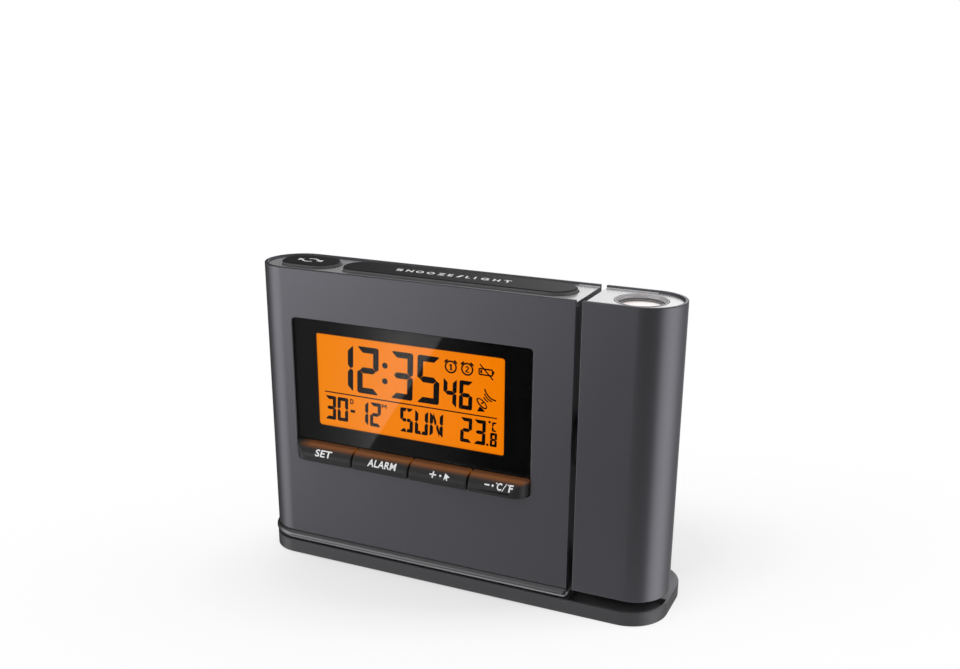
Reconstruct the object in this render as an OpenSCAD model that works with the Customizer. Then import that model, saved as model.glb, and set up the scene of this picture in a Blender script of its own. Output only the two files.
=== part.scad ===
// Projection alarm clock: an upright slab with a display window, front and top keys,
// a wide foot and a projector arm that swivels on a hollow shaft at the right-hand end.
// Millimetres, +Z up, front towards -Y. Origin: centre of the footprint on the table.

/* [Main body] */
// Length of the main body, from its round end to its flat end
body_len = 117.8; // [110:0.1:150]
// Depth of the main body and of the projector arm
body_depth = 24.3; // [24:0.1:30]
// Height of the main body and of the projector arm
shell_h = 97.5; // [94:0.5:115]
// Wall of both housings
wall = 2; // [1.8:0.1:2.4]
// Wall of the rim that stands above the top panels
rim_wall = 1.2; // [0.8:0.1:1.5]
// How far the top panels lie below the rim
panel_recess = 0.8; // [0.4:0.1:1.2]
// Thickness of the top panels
panel_t = 1.5; // [1.2:0.1:2]

/* [Foot] */
// Height of the rubber pads below the base plate
pad_lift = 0.5; // [0.3:0.1:1]
// Radius of a rubber pad
pad_r = 5; // [4:0.5:6]
// Depth of the pocket that holds a pad
pad_pocket = 1; // [0.6:0.1:1.4]
// Thickness of the base plate
plate_t = 4.8; // [4.4:0.1:6]
// How far the base plate stands out in front of the body
toe = 0.9; // [0.8:0.1:4]
// How far the base plate stands out behind the body
heel = 13.75; // [10:0.25:20]
// How far the left end of the plate stays inside the overall length
plate_inset = 0.3; // [0:0.1:1]
// Corner radius at the plate's right-hand end
plate_r_right = 13.4; // [8:0.1:15]
// Corner radius at the plate's left-hand end
plate_r_left = 11.5; // [8:0.1:15]
// Height of the rounded collar between plate and body
collar_h = 3.7; // [3:0.1:5]
// How far the collar bulges past the body
collar_out = 0.85; // [0.4:0.05:0.9]
// Depth of the recess in the plate under the arm
recess_depth = 2; // [1:0.1:2.6]
// Width of the plate's rim round that recess
recess_rim = 1; // [0.8:0.1:1.5]

/* [Projector arm] */
// Length of the arm, from its flat side to its round end
arm_len = 29.2; // [29:0.1:36]
// Gap between the body and the arm
arm_gap = 2; // [1.6:0.1:3]
// Distance of the lens axis from the arm's flat side
lens_x_in = 14.9; // [14.6:0.1:15.4]
// Radius of the hole in the arm's top panel
ring_hole_r = 8.45; // [8.4:0.05:8.6]
// Radius of the projector lens
lens_r = 6.1; // [5:0.1:6.2]
// Lens travel either way when the focus ring turns
focus_travel = 1.5; // [1:0.1:1.8]
// Outer radius of the hollow hinge shaft
shaft_r = 5; // [4.5:0.1:5.5]
// Bore of the hinge shaft, for the wires
shaft_bore_r = 3; // [2:0.1:3.2]

/* [Display window] */
// Distance of the window from the body's round end
window_left = 15.6; // [14:0.1:17]
// Width of the window and of the key row under it
window_w = 88.8; // [86:0.1:90]
// Distance of the window from the top of the rim
window_drop = 16.9; // [16:0.1:19]
// Height of the window
window_h = 44; // [43:0.1:46]
// Corner radius of the window
window_r = 1.5; // [0.8:0.1:2]
// Thickness of the clear pane
pane_t = 1.2; // [1:0.1:1.4]
// Width of the visible display
lcd_w = 70.2; // [66:0.1:71]
// Height of the visible display
lcd_h = 33.2; // [31:0.1:34]
// Distance of the display from the window's left edge
lcd_left = 8.7; // [8:0.1:9.5]
// Distance of the display from the window's top edge
lcd_drop = 4.8; // [4.2:0.1:5.6]
// Corner radius of the display's opening
lcd_corner = 1; // [0.5:0.1:1.5]
// Thickness of the display glass
lcd_t = 2; // [1.6:0.1:2.2]
// Thickness of the backlight panel
backlight_t = 2.5; // [2:0.1:2.6]

/* [Front keys] */
// Height of the front keys
key_h = 6.1; // [5.5:0.1:7]
// How far the front keys stand out
key_proud = 4.25; // [3:0.05:5]
// Radius of the curve over the top of the front keys
key_arc = 4.4; // [3.5:0.1:5]
// Radius of the key row's two outer corners, seen from above
key_end_r = 5.4; // [3:0.1:6]
// Width of the first key
set_key_w = 24.2; // [20:0.1:26]
// Width of each of the two middle keys
mid_key_w = 21.9; // [18:0.1:23]
// Slit between two front keys
key_split = 0.35; // [0.3:0.05:0.6]
// Travel of the front keys
key_travel = 0.8; // [0.4:0.1:0.9]

/* [Top keys] */
// Distance of the flip key from the round end
flip_left = 6; // [5:0.1:7.5]
// Length of the flip key
flip_len = 21.6; // [19:0.1:23]
// Gap between the two top keys
top_key_gap = 2.7; // [2:0.1:4]
// Distance of the snooze key from the body's flat end
snooze_right = 3.9; // [3.8:0.1:12]
// Half the depth of the top keys at their foot
top_key_r = 7.3; // [6:0.1:7.6]
// How far the sides of the top keys lean in
top_key_draft = 0.3; // [0.1:0.1:1]
// How far the top keys stand above the rim
top_key_rise = 0.5; // [0.2:0.1:2]
// Travel of the top keys
top_travel = 1; // [0.5:0.1:1.2]

/* [Battery bay] */
// Diameter of a cell
cell_d = 10.5; // [10.3:0.1:10.6]
// Length of a cell
cell_len = 44.5; // [43.5:0.1:45]
// Room at each end of the cells for the contacts
contact_room = 3.5; // [3:0.1:4]
// Wall of the battery tray
tray_wall = 0.9; // [0.7:0.1:1.1]
// Distance of the bay from the body's round end
bay_left = 22.5; // [20:0.1:24]
// Height of the bay's floor above the bottom of the housing
bay_floor = 3.4; // [3.2:0.1:4.2]

/* [Power and rear panel] */
// Radius of the power socket's bore
jack_r = 2.9; // [2.7:0.05:3]
// Length of that bore in front of the contact pin
jack_mouth = 4.5; // [4:0.1:5]
// Radius of the socket's contact pin
jack_pin_r = 1; // [0.6:0.05:1.2]
// Radius of the reset button
reset_r = 1.35; // [1:0.05:1.6]
// Travel of the reset button
reset_travel = 0.6; // [0.3:0.1:0.7]

/* [Hidden] */
$fn = 64;
e = 0.01;    // overlap of shapes that are joined
past = 1;    // how far a cut runs past what it cuts

// clearances
seat_gap = 0.1;      // dropped in or glued
slide_gap = 0.15;    // sliding keys and the door
run_gap = 0.06;      // turning shafts
thread_gap = 0.02;   // screws in their threads
screw_gap = 0.1;     // screws through clear holes
press_gap = 0.05;    // left under a key that is pressed home
film_gap = 0.05;     // glue behind the pane

x_left = (collar_out - body_len - arm_gap - arm_len) / 2;
x_split = x_left + body_len;
x_arm = x_split + arm_gap;
x_right = x_arm + arm_len;
half_d = body_depth / 2;
in_d = half_d - wall;
x_centre_left = x_left + half_d;
x_centre_right = x_right - half_d;

z_plate_top = pad_lift + plate_t;
z_shell = z_plate_top + collar_h;
z_top = z_shell + shell_h;
z_panel = z_top - panel_recess;
z_seat = z_panel - panel_t;
z_pivot = z_shell + shell_h / 2;
mid_y = (key_proud - heel) / 2;

key_window_gap = 0.2;
x_win = x_left + window_left;
x_win_end = x_win + window_w;
z_win_top = z_top - window_drop;
z_win_bot = z_win_top - window_h;
z_key_top = z_win_bot - key_window_gap;
z_key_bot = z_key_top - key_h;
x_lcd = x_win + lcd_left;
x_lcd_end = x_lcd + lcd_w;
z_lcd_top = z_win_top - lcd_drop;
z_lcd_bot = z_lcd_top - lcd_h;

// foot
pad_from_end = 22;
pad_from_edge = 8;
pad_x = [x_left + pad_from_end, x_right - pad_from_end];
pad_y = [-half_d - toe + pad_from_edge, half_d + heel - pad_from_edge];
recess_back = 1.5;
recess_gap = 0.4;

// layers of the display stack, from the front face inwards
lip_t = 0.6;
flange_t = 1.2;
holder_floor = 0.8;
board_t = 1.6;
chassis_t = 1.2;
y_pane = -half_d + seat_gap;
y_mask = y_pane + pane_t + film_gap;
y_lcd = y_mask + lip_t;
y_flange = -in_d;
y_bezel_back = y_flange + flange_t;
y_light = y_lcd + lcd_t;
y_light_back = y_light + backlight_t;
y_board = y_light_back + holder_floor;
y_chassis = y_board + board_t;
y_bay_front = y_chassis + chassis_t;

bezel_margin = 1.8;
glass_edge = 2;
light_edge = 1.4;
light_foot = 0.4;
strip_t = 0.4;
strip_end = 3;
led_t = 0.6;
led_half = 1.5;
led_inset = 0.5;
holder_wall = 1.8;
led_room = 1.4;
led_wall = 0.6;
zebra_t = 1.4;
zebra_drop = 0.4;
zebra_room = 0.2;

// main board and what is on it
board_left = 1.6;
board_right = 1;
board_foot = 1.8;
board_over = 0.4;
chip_first = 8;
chip_pitch = 17;
chip_size = 10;
chip_less = 2.5;
chip_t = 1.1;
switch_half = 3;
switch_margin = 0.85;
switch_tip = 0.4;
tip_r = 1.2;
reset_switch_half = 2.6;
reset_tip = 0.3;

// chassis behind the board
chassis_left = 1.2;
chassis_foot = 1;
chassis_window_in = 10;
chassis_window_low = 3;
chassis_window_h = 17;
reset_room = 0.8;
saddle_in = 3;
saddle_t = 3;

// front keys
stem_in_x = 1.5;
stem_in_z = 1;
hook_t = 0.7;
hook_h = 0.7;
hook_in = 0.5;
hook_half = 4;
key_back = y_flange - key_travel - slide_gap;
y_hook = y_bezel_back + seat_gap;
y_key_end = y_hook + hook_t;
switch_t = y_board - (y_key_end + key_travel + press_gap) - switch_tip;
key_edges = [
    x_win + slide_gap,
    x_win + set_key_w,
    x_win + set_key_w + mid_key_w,
    x_win + set_key_w + 2 * mid_key_w,
    x_win_end - slide_gap
];

// top keys
top_flange_t = 1.5;
top_flange_out = 0.9;
top_post_r = 1.5;
top_post_len = 3.2;
top_switch_t = 1;
top_tip_r = 1.3;
top_board_t = 1.2;
top_board_half = 7;
top_board_left = 6.5;
top_board_right = 1.3;
shelf_t = 2;
shelf_from_left = 44;
shelf_from_split = 23;
z_top_flange = z_seat - seat_gap - top_flange_t;
z_post_end = z_top_flange - top_post_len;
z_top_tip = z_post_end - top_travel - press_gap;
z_top_board = z_top_tip - switch_tip - top_switch_t;
x_flip = x_left + flip_left;
x_snooze = x_flip + flip_len + top_key_gap;
x_snooze_end = x_split - snooze_right;
snooze_len = x_snooze_end - x_snooze;
top_posts = [
    x_flip + flip_len / 2,
    x_snooze + snooze_len / 4,
    x_snooze + 3 * snooze_len / 4
];

// screws and bosses
base_screw_r = 1.4;
base_head_r = 2.8;
base_head_h = 1.8;
base_head_gap = 0.4;
head_deep = 2.5;
z_base_head = pad_lift + head_deep;
cross_len = 3;
cross_w = 0.6;
cross_deep = 0.8;
tip_room = 2;
base_boss_r = 3.4;
base_boss_h = 11;
boss_from_left = 10;
boss_from_split = 7.8;
boss_pitch = 25;
base_boss_x = [
    x_left + boss_from_left,
    x_split - boss_from_split - boss_pitch,
    x_split - boss_from_split
];
web_t = 1.6;
web_h = 8;
frame_screw_r = 1.2;
frame_head_r = 2.2;
frame_head_h = 1.2;
frame_boss_r = 2.8;
frame_floor = 2;
frame_screw_short = 1;
frame_left = 6.8;
frame_right = 6.6;
frame_low = 1.6;
frame_high = 0.8;
frame_x = [x_lcd - frame_left, x_lcd_end + frame_right];
frame_z = [z_lcd_bot - frame_low, z_lcd_top - frame_high];

// battery bay
cell_room = 0.3;
cell_spacing = 0.8;
bay_len = cell_len + 2 * contact_room;
bay_h = 2 * (cell_d + cell_room) + cell_spacing;
x_bay = x_left + bay_left;
x_bay_end = x_bay + bay_len;
z_bay = z_shell + bay_floor;
cell_y = in_d - cell_room - cell_d / 2;
y_bay = cell_y - cell_d / 2 - cell_room;
cell_z = [z_bay + cell_room + cell_d / 2, z_bay + bay_h - cell_room - cell_d / 2];
contact_t = 0.5;
contact_half = 4;
spring_wire_r = 0.4;
spring_coils = 3;
spring_r = 3.2;
spring_taper = 0.5;
spring_end_room = 0.6;
spring_stay_r = 0.5;
spring_stay_out = 2.6;
nub_r = 1.9;
nub_len = 2;
nub_shift = 1;
door_lap = 0.2;
door_t = wall - seat_gap;
door_pin_r = 0.65;
door_pin_len = 1.5;
pin_gap = 0.07;
door_y = half_d - door_t / 2;
z_door_bot = z_bay - door_lap;
z_door_top = z_bay + bay_h + door_lap;
z_hinge = z_door_bot + slide_gap + door_t / 2;
x_door = x_bay - door_lap;
x_door_end = x_bay_end + door_lap;
grip_ball = 4;
grip_out = 3.3;
grip_drop = 3;

// rear panel
slot_pitch = 3;
slot_half = 0.6;
slot_r = 0.55;
jack_from_split = 21.3;
jack_rise = 13;
jack_half = 4.5;
jack_nose_r = 4.4;
jack_deep = 4.2;
jack_wall = 1.6;
jack_step = 0.2;
jack_x = x_split - jack_from_split;
jack_z = z_shell + jack_rise;
reset_from_split = 33.3;
reset_rise = 4.7;
reset_x = x_split - reset_from_split;
reset_z = z_key_bot + reset_rise;
reset_flange_r = 2.2;
reset_flange_t = 1.2;
reset_sunk = 0.3;
reset_reach = 1.1;
y_reset_end = y_bay_front + reset_reach;
buzzer_r = 10;
buzzer_t = 2;
buzzer_from_left = 44.5;
buzzer_rise = 12.4;
buzzer_x = x_left + buzzer_from_left;
buzzer_z = z_lcd_bot + buzzer_rise;
sound_half = 5;
vent_half = 4;
vent_from_split = 8.3;
vent_drop = 12;
vent_x = x_split - vent_from_split;
vent_z = z_lcd_top - vent_drop;
sensor_t = 2;
sensor_half = 2;
ferrite_r = 3.2;
ferrite_len = 50;
ferrite_bare = 17;
coil_out = 0.9;
ferrite_from_left = 24.5;
ferrite_behind = 6.6;
ferrite_x = x_left + ferrite_from_left;
ferrite_y = y_bay_front + ferrite_behind;
ferrite_z = z_lcd_top - frame_high;

// hinge between body and arm
bush_wall = 2;
bush_flange_r = shaft_r + 4;
bush_flange_t = 0.8;
bush_past_wall = 1.5;
washer_t = 0.9;
washer_wide = 2.4;
nut_t = 1.5;
nut_wall = 3;
nut_notch = 1.6;
thread_end = 1;
collar_wall = 1.5;
pad_thick = 2;
shaft_flange_r = shaft_r + 4;
shaft_flange_t = 1.5;
shaft_screw_n = 3;
shaft_screw_r = 0.8;
shaft_screw_out = 2.2;
shaft_screw_bite = 2;
shaft_head_r = 1.5;
small_head_h = 1;
bush_r = shaft_r + bush_wall;
nut_r = shaft_r + nut_wall;
x_bush_in = x_split - wall - bush_past_wall;
x_washer = x_bush_in - washer_t;
x_nut = x_washer - nut_t;
x_arm_in = x_arm + wall + pad_thick;
wire_r = 0.55;
wire_ring = 0.85;
wire_into_body = 7;
wire_into_arm = 6;

// projector inside the arm
lens_x = x_arm + lens_x_in;
tube_r = 9.2;
tube_in_r = 8;
tube_above_shaft = 0.25;
tube_flange_t = 1.6;
ledge_drop = 20.5;
ledge_h = 2;
ledge_left = 3;
ledge_right = 2.6;
shelf_floor = 1.2;
condenser_hole_r = 6;
slide_hole_r = 5.2;
led_space = 7.2;
condenser_space = 10;
z_tube = z_pivot + shaft_flange_r + tube_above_shaft;
z_ledge = z_top - ledge_drop;
z_condenser = z_tube + led_space;
z_slide = z_condenser + condenser_space;
projector_screw_r = 0.8;
projector_head_r = 1.3;
projector_bite = 1.8;
projector_left = 1.6;
projector_right = 1.4;
projector_side = 5;
led_board_t = 1.2;
led_base_r = 3;
led_base_h = 1;
led_dome_r = 2.4;
condenser_h = 4;
condenser_ball = 12.6;
condenser_edge = 0.3;
slide_side = 10.8;
slide_t = 1.2;
arm_board_rib = 0.6;
arm_board_t = 1.2;
arm_board_half = 6.5;
arm_board_gap = 2.2;
z_arm_board = z_pivot + shaft_flange_r + arm_board_gap;
z_arm_board_top = z_ledge - ledge_h - arm_board_rib;
arm_cap_t = 2;

// focus ring and lens cell
ring_flange_t = 1.2;
ring_flange_out = 0.85;
ring_rise = 0.2;
ring_end_room = 0.7;
ring_steps = 3;
ring_step_h = 0.6;
ring_step_w = 0.35;
lens_cell_r = 6.92;
lens_cell_h = 9;
lens_cell_slide = 0.08;
lens_cell_lip = 0.6;
lens_sunk = 1.1;
lens_seat = 2.4;
lens_rim_h = 1.6;
lens_ball = 14;
ring_r = ring_hole_r - seat_gap;
ring_in_r = lens_cell_r + lens_cell_slide;
z_ring_flange = z_seat - seat_gap - ring_flange_t;
z_tube_top = z_ring_flange - seat_gap;
z_ring_top = z_panel + ring_rise;
z_cell_top = z_panel - lens_sunk - focus_travel;
z_cell_bot = z_cell_top - lens_cell_h;
z_ring_bot = z_cell_bot - focus_travel - ring_end_room;

// ---- shared shapes ----

// Puts a shape drawn about the body's middle plane into the clock's frame
module placed() { translate([0, mid_y, 0]) children(); }

// Extrudes an (x, z) outline from y = a to y = b
module along_y(a, b) { translate([0, b, 0]) rotate([90, 0, 0]) linear_extrude(b - a) children(); }

// Extrudes a (y, z) outline from x = a to x = b
module along_x(a, b) { translate([a, 0, 0]) rotate([90, 0, 90]) linear_extrude(b - a) children(); }

// Extrudes an (x, y) outline from z = a to z = b
module along_z(a, b) { translate([0, 0, a]) linear_extrude(b - a) children(); }

module rod_x(a, b, y, z, r) { translate([a, y, z]) rotate([0, 90, 0]) cylinder(h = b - a, r = r); }
module rod_y(a, b, x, z, r) { translate([x, a, z]) rotate([-90, 0, 0]) cylinder(h = b - a, r = r); }
module rod_z(a, b, x, y, r) { translate([x, y, a]) cylinder(h = b - a, r = r); }
module block(low, high) { translate(low) cube(high - low); }

module rounded(x0, y0, x1, y1, r) {
    translate([x0 + r, y0]) square([x1 - x0 - 2 * r, y1 - y0]);
    translate([x0, y0 + r]) square([x1 - x0, y1 - y0 - 2 * r]);
    for (x = [x0 + r, x1 - r], y = [y0 + r, y1 - r]) translate([x, y]) circle(r);
}

module stadium(x0, x1, r) {
    translate([x0 + r, -r]) square([x1 - x0 - 2 * r, 2 * r]);
    for (x = [x0 + r, x1 - r]) translate([x, 0]) circle(r);
}

// A stadium that stands straight from z = a to z = b and leans in by draft from there to z = c
module leaning_stadium(x0, x1, r, a, b, c, draft) {
    for (x = [x0 + r, x1 - r]) translate([x, 0, 0]) rotate_extrude()
        polygon([[0, a], [r, a], [r, b], [r - draft, c], [0, c]]);
    along_x(x0 + r, x1 - r)
        polygon([[-r, a], [r, a], [r, b], [r - draft, c], [draft - r, c], [-r, b]]);
}

// Plan of the main body: round at the left, flat at the right
module body_plan(inset = 0) {
    translate([x_centre_left, 0]) circle(half_d - inset);
    translate([x_centre_left, inset - half_d])
        square([x_split - inset - x_centre_left, 2 * (half_d - inset)]);
}

// Plan of the arm: flat at the left, round at the right
module arm_plan(inset = 0) {
    translate([x_centre_right, 0]) circle(half_d - inset);
    translate([x_arm + inset, inset - half_d])
        square([x_centre_right - x_arm - inset, 2 * (half_d - inset)]);
}

// Plan of a top panel or its seat, which runs out through the flat end
module body_panel_plan(inset, end) {
    body_plan(inset);
    translate([x_centre_left, inset - half_d]) square([end - x_centre_left, 2 * (half_d - inset)]);
}

module arm_panel_plan(inset, end) {
    arm_plan(inset);
    translate([end, inset - half_d]) square([x_centre_right - end, 2 * (half_d - inset)]);
}

module plate_plan(inset = 0) {
    x0 = x_left + plate_inset + inset;
    x1 = x_right - inset;
    y0 = -half_d - toe + inset;
    y1 = half_d + heel - inset;
    left = plate_r_left - inset;
    right = plate_r_right - inset;
    translate([x0 + left, y0]) square([x1 - x0 - left - right, y1 - y0]);
    translate([x0, y0 + left]) square([left + e, y1 - y0 - 2 * left]);
    translate([x1 - right - e, y0 + right]) square([right + e, y1 - y0 - 2 * right]);
    for (y = [y0 + left, y1 - left]) translate([x0 + left, y]) circle(left);
    for (y = [y0 + right, y1 - right]) translate([x1 - right, y]) circle(right);
}

// ---- foot ----

module at_pads() { for (x = pad_x, y = pad_y) translate([x, y, 0]) children(); }

module base_plate() color("#454547") placed() difference() {
    union() {
        along_z(pad_lift, z_plate_top) plate_plan();
        along_z(z_plate_top - e, z_shell) body_plan(wall + 2 * seat_gap);
    }
    intersection() {
        along_z(z_plate_top - recess_depth, z_plate_top + past) plate_plan(recess_rim);
        block([x_split + recess_gap, -half_d - toe, 0],
            [x_right, recess_back, z_plate_top + past]);
    }
    at_pads() rod_z(pad_lift - past, pad_lift + pad_pocket, 0, 0, pad_r + seat_gap);
    for (x = base_boss_x) {
        rod_z(pad_lift - past, z_base_head, x, 0, base_head_r + base_head_gap);
        rod_z(pad_lift - past, z_shell + past, x, 0, base_screw_r + screw_gap);
    }
}

// The collar's bead is a round rod that follows the body's outline
module foot_collar() color("#4d4d50") placed() {
    bead_r = collar_h / 2;
    bead_in = bead_r - collar_out;
    bead_y = half_d - bead_in;
    bead_z = z_plate_top + bead_r;
    difference() {
        union() {
            along_z(z_plate_top, z_shell) body_plan(bead_in);
            for (s = [-1, 1]) {
                rod_x(x_centre_left, x_split - bead_in, s * bead_y, bead_z, bead_r);
                translate([x_split - bead_in, s * bead_y, bead_z]) sphere(bead_r);
            }
            rod_y(-bead_y, bead_y, x_split - bead_in, bead_z, bead_r);
            translate([x_centre_left, 0, bead_z])
                rotate_extrude() translate([bead_y, 0]) circle(bead_r);
        }
        along_z(z_plate_top - past, z_shell + past) body_plan(wall + seat_gap);
    }
}

module foot_pads() color("#222222") placed()
    at_pads() cylinder(h = pad_lift + pad_pocket, r = pad_r);

module base_screws() color("silver") placed()
    for (x = base_boss_x) difference() {
        union() {
            rod_z(z_base_head - base_head_h, z_base_head, x, 0, base_head_r);
            rod_z(z_base_head - e, z_shell + base_boss_h - tip_room, x, 0, base_screw_r);
        }
        for (a = [0, 90]) translate([x, 0, z_base_head - base_head_h]) rotate(a)
            cube([cross_len, cross_w, 2 * cross_deep], center = true);
    }

// ---- main body shell ----

module base_bosses() {
    for (x = base_boss_x) difference() {
        union() {
            rod_z(z_shell, z_shell + base_boss_h, x, 0, base_boss_r);
            if (x > x_centre_left)
                block([x - web_t / 2, -in_d - e, z_shell], [x + web_t / 2, in_d + e, z_shell + web_h]);
            else
                block([x_left + wall - e, -web_t / 2, z_shell], [x, web_t / 2, z_shell + web_h]);
        }
        rod_z(z_shell - past, z_shell + base_boss_h + past, x, 0, base_screw_r + thread_gap);
    }
}

module frame_bosses() {
    for (x = frame_x, z = frame_z) difference() {
        rod_y(y_bay_front, in_d + e, x, z, frame_boss_r);
        rod_y(y_bay_front - past, in_d - frame_floor, x, z, frame_screw_r + thread_gap);
    }
}

module rear_openings() {
    block([x_door, in_d - past, z_door_bot], [x_door_end, half_d + past, z_door_top]);
    for (x = [x_door - door_pin_len - pin_gap, x_door_end - e])
        rod_x(x, x + door_pin_len + pin_gap + e, door_y, z_hinge, door_pin_r + pin_gap);
    rod_y(in_d - past, half_d + past, jack_x, jack_z, jack_nose_r + seat_gap);
    rod_y(in_d - past, half_d + past, reset_x, reset_z, reset_r + seat_gap);
    for (i = [-2:2]) along_y(in_d - past, half_d + past)
        rounded(buzzer_x + i * slot_pitch - slot_half, buzzer_z - sound_half,
            buzzer_x + i * slot_pitch + slot_half, buzzer_z + sound_half, slot_r);
    for (i = [-1:1]) along_y(in_d - past, half_d + past)
        rounded(vent_x - vent_half, vent_z + i * slot_pitch - slot_half,
            vent_x + vent_half, vent_z + i * slot_pitch + slot_half, slot_r);
}

module housing() color("#5b5b60") placed() {
    difference() {
        along_z(z_shell, z_top) body_plan();
        along_z(z_shell - past, z_seat + e) body_plan(wall);
        along_z(z_seat, z_top + past) body_panel_plan(rim_wall, x_split + past);
        along_y(-half_d - past, past - in_d)
            rounded(x_win, z_key_bot - key_window_gap, x_win_end, z_win_top, window_r);
        rear_openings();
        rod_x(x_split - wall - past, x_split + past, 0, z_pivot, bush_r + thread_gap);
    }
    base_bosses();
    frame_bosses();
    z_shelf = z_top_board - top_board_t;
    for (x = [x_left + shelf_from_left, x_split - shelf_from_split])
        block([x - shelf_t / 2, -in_d - e, z_shelf - shelf_t], [x + shelf_t / 2, in_d + e, z_shelf]);
}

module top_panel() color("#b9bbbf") placed()
    along_z(z_seat, z_panel) difference() {
        body_panel_plan(rim_wall + seat_gap, x_split);
        stadium(x_flip - slide_gap, x_flip + flip_len + slide_gap, top_key_r + slide_gap);
        stadium(x_snooze - slide_gap, x_snooze_end + slide_gap, top_key_r + slide_gap);
    }

// ---- display ----

// Round at its upper corners and square where it meets the keys
module window_outline(r) {
    rounded(x_win + seat_gap, z_win_bot + seat_gap, x_win_end - seat_gap, z_win_top - seat_gap, r);
    translate([x_win + seat_gap, z_win_bot + seat_gap]) square([window_w - 2 * seat_gap, 2 * r]);
}

module display_window() color("#15151780") placed()
    along_y(y_pane, y_pane + pane_t) window_outline(window_r - seat_gap);

module key_stem(i, out) {
    x0 = key_edges[i] + stem_in_x - out;
    x1 = key_edges[i + 1] - stem_in_x + out;
    translate([x0, z_key_bot + stem_in_z - out])
        square([x1 - x0, key_h - 2 * stem_in_z + 2 * out]);
}

module display_bezel() color("#161618") placed() difference() {
    glass_out = glass_edge + seat_gap;
    union() {
        along_y(y_flange, y_bezel_back)
            rounded(x_win - bezel_margin, z_key_bot - bezel_margin, x_win_end + bezel_margin,
                z_win_top + bezel_margin, window_r);
        along_y(y_mask, y_flange + e) window_outline(window_r - seat_gap);
    }
    along_y(y_mask - past, y_bezel_back + past)
        rounded(x_lcd, z_lcd_bot, x_lcd_end, z_lcd_top, lcd_corner);
    along_y(y_lcd, y_bezel_back + past) translate([x_lcd - glass_out, z_lcd_bot - glass_out])
        square([lcd_w + 2 * glass_out, lcd_h + 2 * glass_out]);
    for (i = [0:3]) along_y(y_flange - past, y_bezel_back + past) key_stem(i, slide_gap);
}

module lcd_panel() color("#ff8a10") placed()
    block([x_lcd - glass_edge, y_lcd, z_lcd_bot - glass_edge],
        [x_lcd_end + glass_edge, y_light, z_lcd_top + glass_edge]);

module backlight_panel() color("#ffd9a0") placed()
    block([x_lcd - light_edge, y_light, z_lcd_bot + light_foot],
        [x_lcd_end + light_edge, y_light_back, z_lcd_top + light_edge]);

// A strip with three LEDs that shine into the backlight's edge
module backlight_leds() color("#ffb040") placed() {
    x0 = x_lcd_end + light_edge + seat_gap;
    block([x0 + led_t, y_light, z_lcd_bot + strip_end],
        [x0 + led_t + strip_t, y_light_back, z_lcd_top - strip_end]);
    for (i = [1:3]) {
        z = z_lcd_bot + i * lcd_h / 4;
        block([x0, y_light + led_inset, z - led_half],
            [x0 + led_t + e, y_light_back - led_inset, z + led_half]);
    }
}

module lcd_holder() color("#d8d8d2") placed() {
    x0 = x_lcd - glass_edge - holder_wall;
    x1 = x_lcd_end + glass_edge + led_room + led_wall;
    z0 = z_lcd_bot - glass_edge - holder_wall;
    z1 = z_lcd_top + glass_edge + holder_wall;
    z_zebra = z_lcd_bot - zebra_drop;
    difference() {
        block([x0, y_bezel_back, z0], [x1, y_board, z1]);
        block([x0 + holder_wall - seat_gap, y_bezel_back - past, z0 + holder_wall - seat_gap],
            [x1 - led_wall - seat_gap, y_light_back, z1 - holder_wall + seat_gap]);
        block([x_lcd - zebra_room, y_bezel_back - past, z_zebra - zebra_t - seat_gap],
            [x_lcd_end + zebra_room, y_board + past, z_zebra + seat_gap]);
    }
}

module zebra_strip() color("#c8a0a0") placed()
    block([x_lcd, y_light, z_lcd_bot - zebra_drop - zebra_t],
        [x_lcd_end, y_board, z_lcd_bot - zebra_drop]);

module main_pcb() color("#2f6b3c") placed() difference() {
    block([x_win - board_left, y_board, z_key_bot - board_foot],
        [x_win_end - board_right, y_chassis, z_win_top + board_over]);
    for (x = frame_x, z = frame_z)
        rod_y(y_board - past, y_chassis + past, x, z, frame_screw_r + screw_gap);
}

// Controller and radio receiver, on the board's back inside the chassis window
module pcb_chips() color("#1c1c1e") placed()
    for (i = [0:2]) {
        x = x_lcd + chip_first + i * chip_pitch;
        z = z_lcd_bot + chassis_window_low + chassis_window_h / 2;
        size = chip_size - i * chip_less;
        block([x, y_chassis, z - size / 2], [x + size, y_chassis + chip_t, z + size / 2]);
    }

// Four key switches on the board's face and the reset switch on its back
module key_switches() color("#c9c9cc") placed() {
    z = z_key_bot + key_h / 2;
    half_h = key_h / 2 - switch_margin;
    y_switch = y_board - switch_t;
    for (i = [0:3]) {
        x = (key_edges[i] + key_edges[i + 1]) / 2;
        block([x - switch_half, y_switch, z - half_h], [x + switch_half, y_board, z + half_h]);
        rod_y(y_switch - switch_tip, y_switch + e, x, z, tip_r);
    }
    y_tip = y_reset_end - reset_travel - press_gap;
    block([reset_x - reset_switch_half, y_chassis, reset_z - reset_switch_half],
        [reset_x + reset_switch_half, y_tip - reset_tip, reset_z + reset_switch_half]);
    rod_y(y_tip - reset_tip - e, y_tip, reset_x, reset_z, tip_r);
}

module frame_screws() color("silver") placed()
    for (x = frame_x, z = frame_z) {
        rod_y(y_board - frame_head_h, y_board, x, z, frame_head_r);
        rod_y(y_board - e, in_d - frame_floor - frame_screw_short, x, z, frame_screw_r);
    }

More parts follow.
